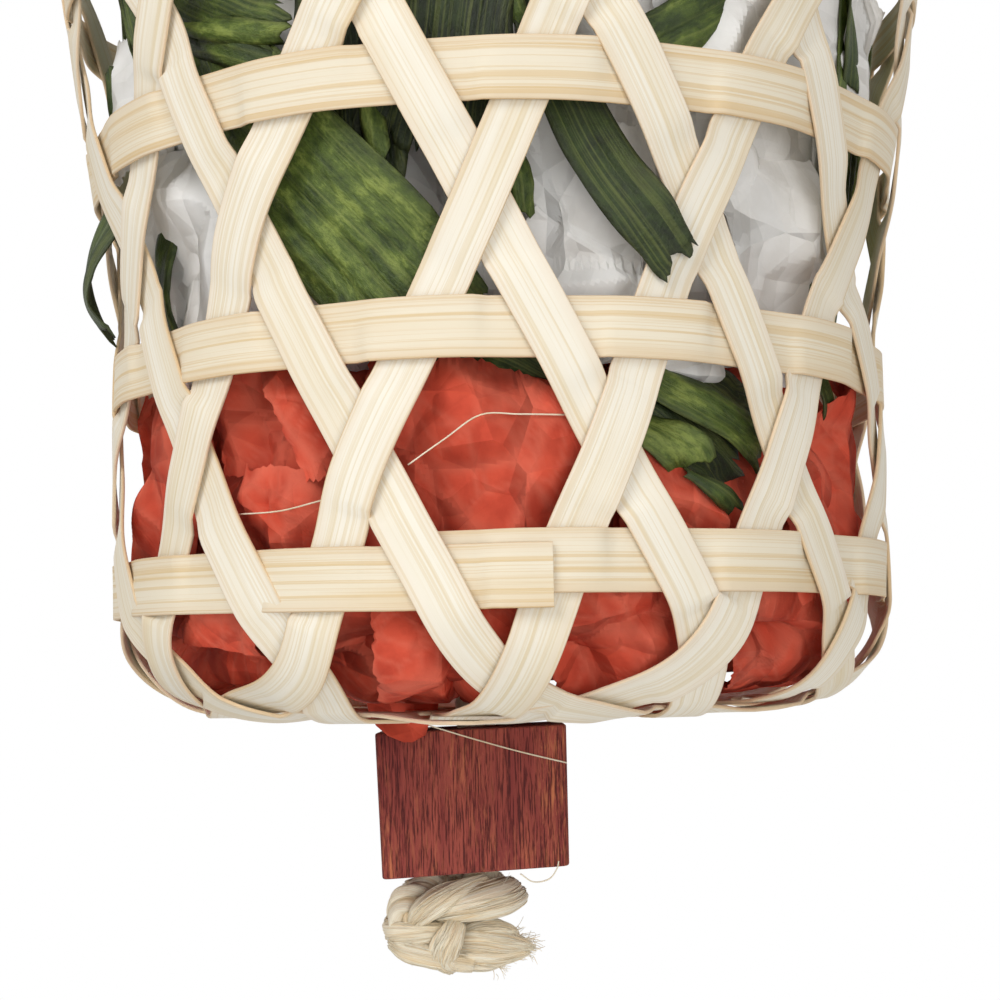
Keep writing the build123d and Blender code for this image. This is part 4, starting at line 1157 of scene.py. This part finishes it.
# Tissue tab
# The torn corner of a sheet of red tissue that has worked its way down between two splints of the floor. It
# hangs in front of the block and is held by the sheet above.
tab_front = -14.4
tab_rows = []
for level, left, right in ((-206, -15, -4.5), (-211, -15, -4.5), (-214.6, -14.2, -5), (-216.2, -13.3, -6.2),
                           (-217.6, -11.7, -6.6), (-218.5, -9.6, -8.4)):
    tab_rows.append([(x, tab_front - 0.15 * math.sin(x * 1.1 + level), level)
                     for x in np.linspace(left, right, 9)])
tab_grid = np.array(tab_rows)
points, faces = thin_sheet(tab_grid, tissue_thickness)
tab = add_piece("red_tissue_tab", "basket", red_paper, points, faces,
                np.tile(tab_grid[..., [0, 2]].reshape(-1, 2), (2, 1)), crease=np.zeros(len(points)))

# Rope eye
# The rope's upper end, turned back through the link and closed by an overhand knot. It hangs on the link's
# lower bend.
eye_radius = 5.05
eye_top = -34.75
bend = np.radians(np.arange(0, 181, 6))
leg = np.arange(eye_knot_level, eye_top, 1.5)
up_leg = np.column_stack([0 * leg, leg * 0 - eye_radius, leg])
over = np.column_stack([0 * bend, -eye_radius * np.cos(bend), eye_top + eye_radius * np.sin(bend)])
down_leg = np.column_stack([0 * leg, leg * 0 + eye_radius, leg[::-1]])
eye_line = np.concatenate([up_leg, over, down_leg])
eye_parts = laid_rope(eye_line, (1, 0, 0), 130)
around = np.radians(np.arange(0, 361, 6))
for radius, tilt, seed in ((5.0, 24, 140), (5.4, -24, 150)):
    ring = np.column_stack([radius * np.cos(around), radius * np.sin(around), np.zeros(len(around))])
    lean = np.array(Matrix.Rotation(math.radians(tilt), 3, "Y"))
    ring = ring @ lean.T + (0, 0, eye_knot_level)
    eye_parts += laid_rope(ring, lean @ (0, 0, 1), seed, pitch=2 * math.pi * radius / 2)
eye_parts += stray_hairs(((0, -7, -57), (5, 3, -58), (-5, 3, -57)), (0.2, 0, -0.6), 18, 6, 400, radius=0.05)
eye = add_piece("rope_eye_strands", "rope", sisal, *gather(eye_parts))
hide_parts("rope_eye")

# Hanging link
# An oval link bent from 3.5 mm steel wire, with a sleeve nut that closes its gap. Both are zinc plated and
# are bought in.


# Bright zinc plate on steel: blue-grey and fairly smooth, with faint scuffs and dull patches from handling.
def zinc_plate():
    made, tree, shader = start_finish("bright_zinc_plate", Metallic=1.0)
    place = add(tree, "ShaderNodeTexCoord").outputs["Object"]
    dull = add(tree, "ShaderNodeTexNoise", {"Vector": place, "Scale": 1 / 0.006, "Detail": 4.0})
    scuff = add(tree, "ShaderNodeTexNoise", {"Vector": place, "Scale": 1 / 0.0006, "Detail": 2.0})
    tone = add(tree, "ShaderNodeMix", {"Factor": dull.outputs["Fac"], 6: linear("#D3D6DA"),
                                       7: linear("#B4B8BE")}, data_type="RGBA")
    tree.links.new(tone.outputs[2], shader.inputs["Base Color"])
    rough = add(tree, "ShaderNodeMapRange", {"Value": dull.outputs["Fac"], "From Min": 0.3, "From Max": 0.7,
                                             "To Min": 0.24, "To Max": 0.42})
    tree.links.new(rough.outputs[0], shader.inputs["Roughness"])
    bump = add(tree, "ShaderNodeBump", {"Height": scuff.outputs["Fac"], "Strength": 0.12,
                                        "Distance": 0.0001})
    tree.links.new(bump.outputs[0], shader.inputs["Normal"])
    return made


zinc = zinc_plate()
for node in ("link_body", "link_nut"):
    part = bpy.data.objects[node]
    part.data.materials.clear()
    part.data.materials.append(zinc)
worn = bpy.data.objects["link_nut"].modifiers.new("worn_edges", "BEVEL")
worn.width = 0.25 * mm
worn.segments = 2
worn.limit_method = "ANGLE"

# Studio
# The toy hangs in front of a plain white paper sweep, in the soft light of large lamps in front and above.
# The paper and the room show as clear white, and they light the toy no more than plain paper does.
sweep_half = 1.0
sweep_level = -0.45
room_light = 0.36


def seen_directly(tree):
    """1 where the camera sees a surface straight, mirrored or through something clear."""
    ray = add(tree, "ShaderNodeLightPath")
    direct = add(tree, "ShaderNodeMath", {0: ray.outputs["Is Camera Ray"], 1: ray.outputs["Is Glossy Ray"]},
                 operation="MAXIMUM")
    return add(tree, "ShaderNodeMath", {0: direct.outputs[0], 1: ray.outputs["Is Transmission Ray"]},
               operation="MAXIMUM").outputs[0]


# Matt white card: it takes a soft shadow, and is lit from within a little so that it shows as clear white.
sweep_paper, tree, shader = start_finish("white_sweep_paper", Roughness=0.9, Base_Color=linear("#F4F4F4"))
share = add(tree, "ShaderNodeMath", {0: seen_directly(tree), 1: 0.85}, operation="MULTIPLY")
white = add(tree, "ShaderNodeEmission", {"Color": linear("#FFFFFF"), "Strength": 1.0})
mixed = add(tree, "ShaderNodeMixShader", {0: share.outputs[0], 1: shader.outputs[0], 2: white.outputs[0]})
tree.links.new(mixed.outputs[0], tree.nodes["Material Output"].inputs["Surface"])
sweep_corners = [(x * sweep_half, y * sweep_half, 0) for x, y in ((-1, -1), (1, -1), (1, 1), (-1, 1))]
sweep_mesh = bpy.data.meshes.new("floor")
sweep_mesh.from_pydata(sweep_corners, [], [(0, 1, 2, 3)])
sweep_mesh.materials.append(sweep_paper)
sweep = bpy.data.objects.new("floor", sweep_mesh)
bpy.context.scene.collection.objects.link(sweep)
sweep.location = (0, 0, sweep_level)

world = bpy.data.worlds.new("white_studio")
world.use_nodes = True
tree = world.node_tree
room = tree.nodes["Background"]
room.inputs["Color"].default_value = linear("#FFFFFF")
room.inputs["Strength"].default_value = room_light
white = add(tree, "ShaderNodeBackground", {"Color": linear("#FFFFFF"), "Strength": 1.0})
mixed = add(tree, "ShaderNodeMixShader", {0: seen_directly(tree), 1: room.outputs[0], 2: white.outputs[0]})
tree.links.new(mixed.outputs[0], tree.nodes["World Output"].inputs["Surface"])
bpy.context.scene.world = world

basket_middle = Vector((basket_axis_x * mm, 0, -0.165))
for name, place, size, power in (("key", (-0.4, -0.6, 0.26), 0.45, 3.2),
                                 ("fill", (0.25, -0.85, -0.28), 0.5, 2.6),
                                 ("top", (0.1, -0.1, 0.6), 0.6, 1.5)):
    lamp = bpy.data.lights.new(name, "AREA")
    lamp.size = size
    lamp.energy = power
    holder = bpy.data.objects.new(name, lamp)
    bpy.context.scene.collection.objects.link(holder)
    holder.location = place
    holder.rotation_euler = (basket_middle - Vector(place)).to_track_quat("-Z", "Y").to_euler()

# Camera
# A long lens, 270 mm in front of the basket's axis and just above its floor. It looks up about five and a
# half degrees and leans about one, which was fitted to the hoops' edges in the photograph.
camera_distance = 0.270
camera_level = -0.2107
camera_pitch = math.radians(5.54)
camera_roll = math.radians(1.07)
lens = bpy.data.cameras.new("camera")
lens.lens = 67.7
lens.sensor_width = 36.0
lens.clip_start = 0.01
camera = bpy.data.objects.new("camera", lens)
bpy.context.scene.collection.objects.link(camera)
camera.location = (basket_axis_x * mm, -camera_distance, camera_level)
aim = Matrix.Rotation(math.pi / 2 + camera_pitch, 4, "X") @ Matrix.Rotation(-camera_roll, 4, "Z")
camera.rotation_euler = aim.to_euler()
bpy.context.scene.camera = camera
bpy.context.scene.view_settings.view_transform = "Standard"
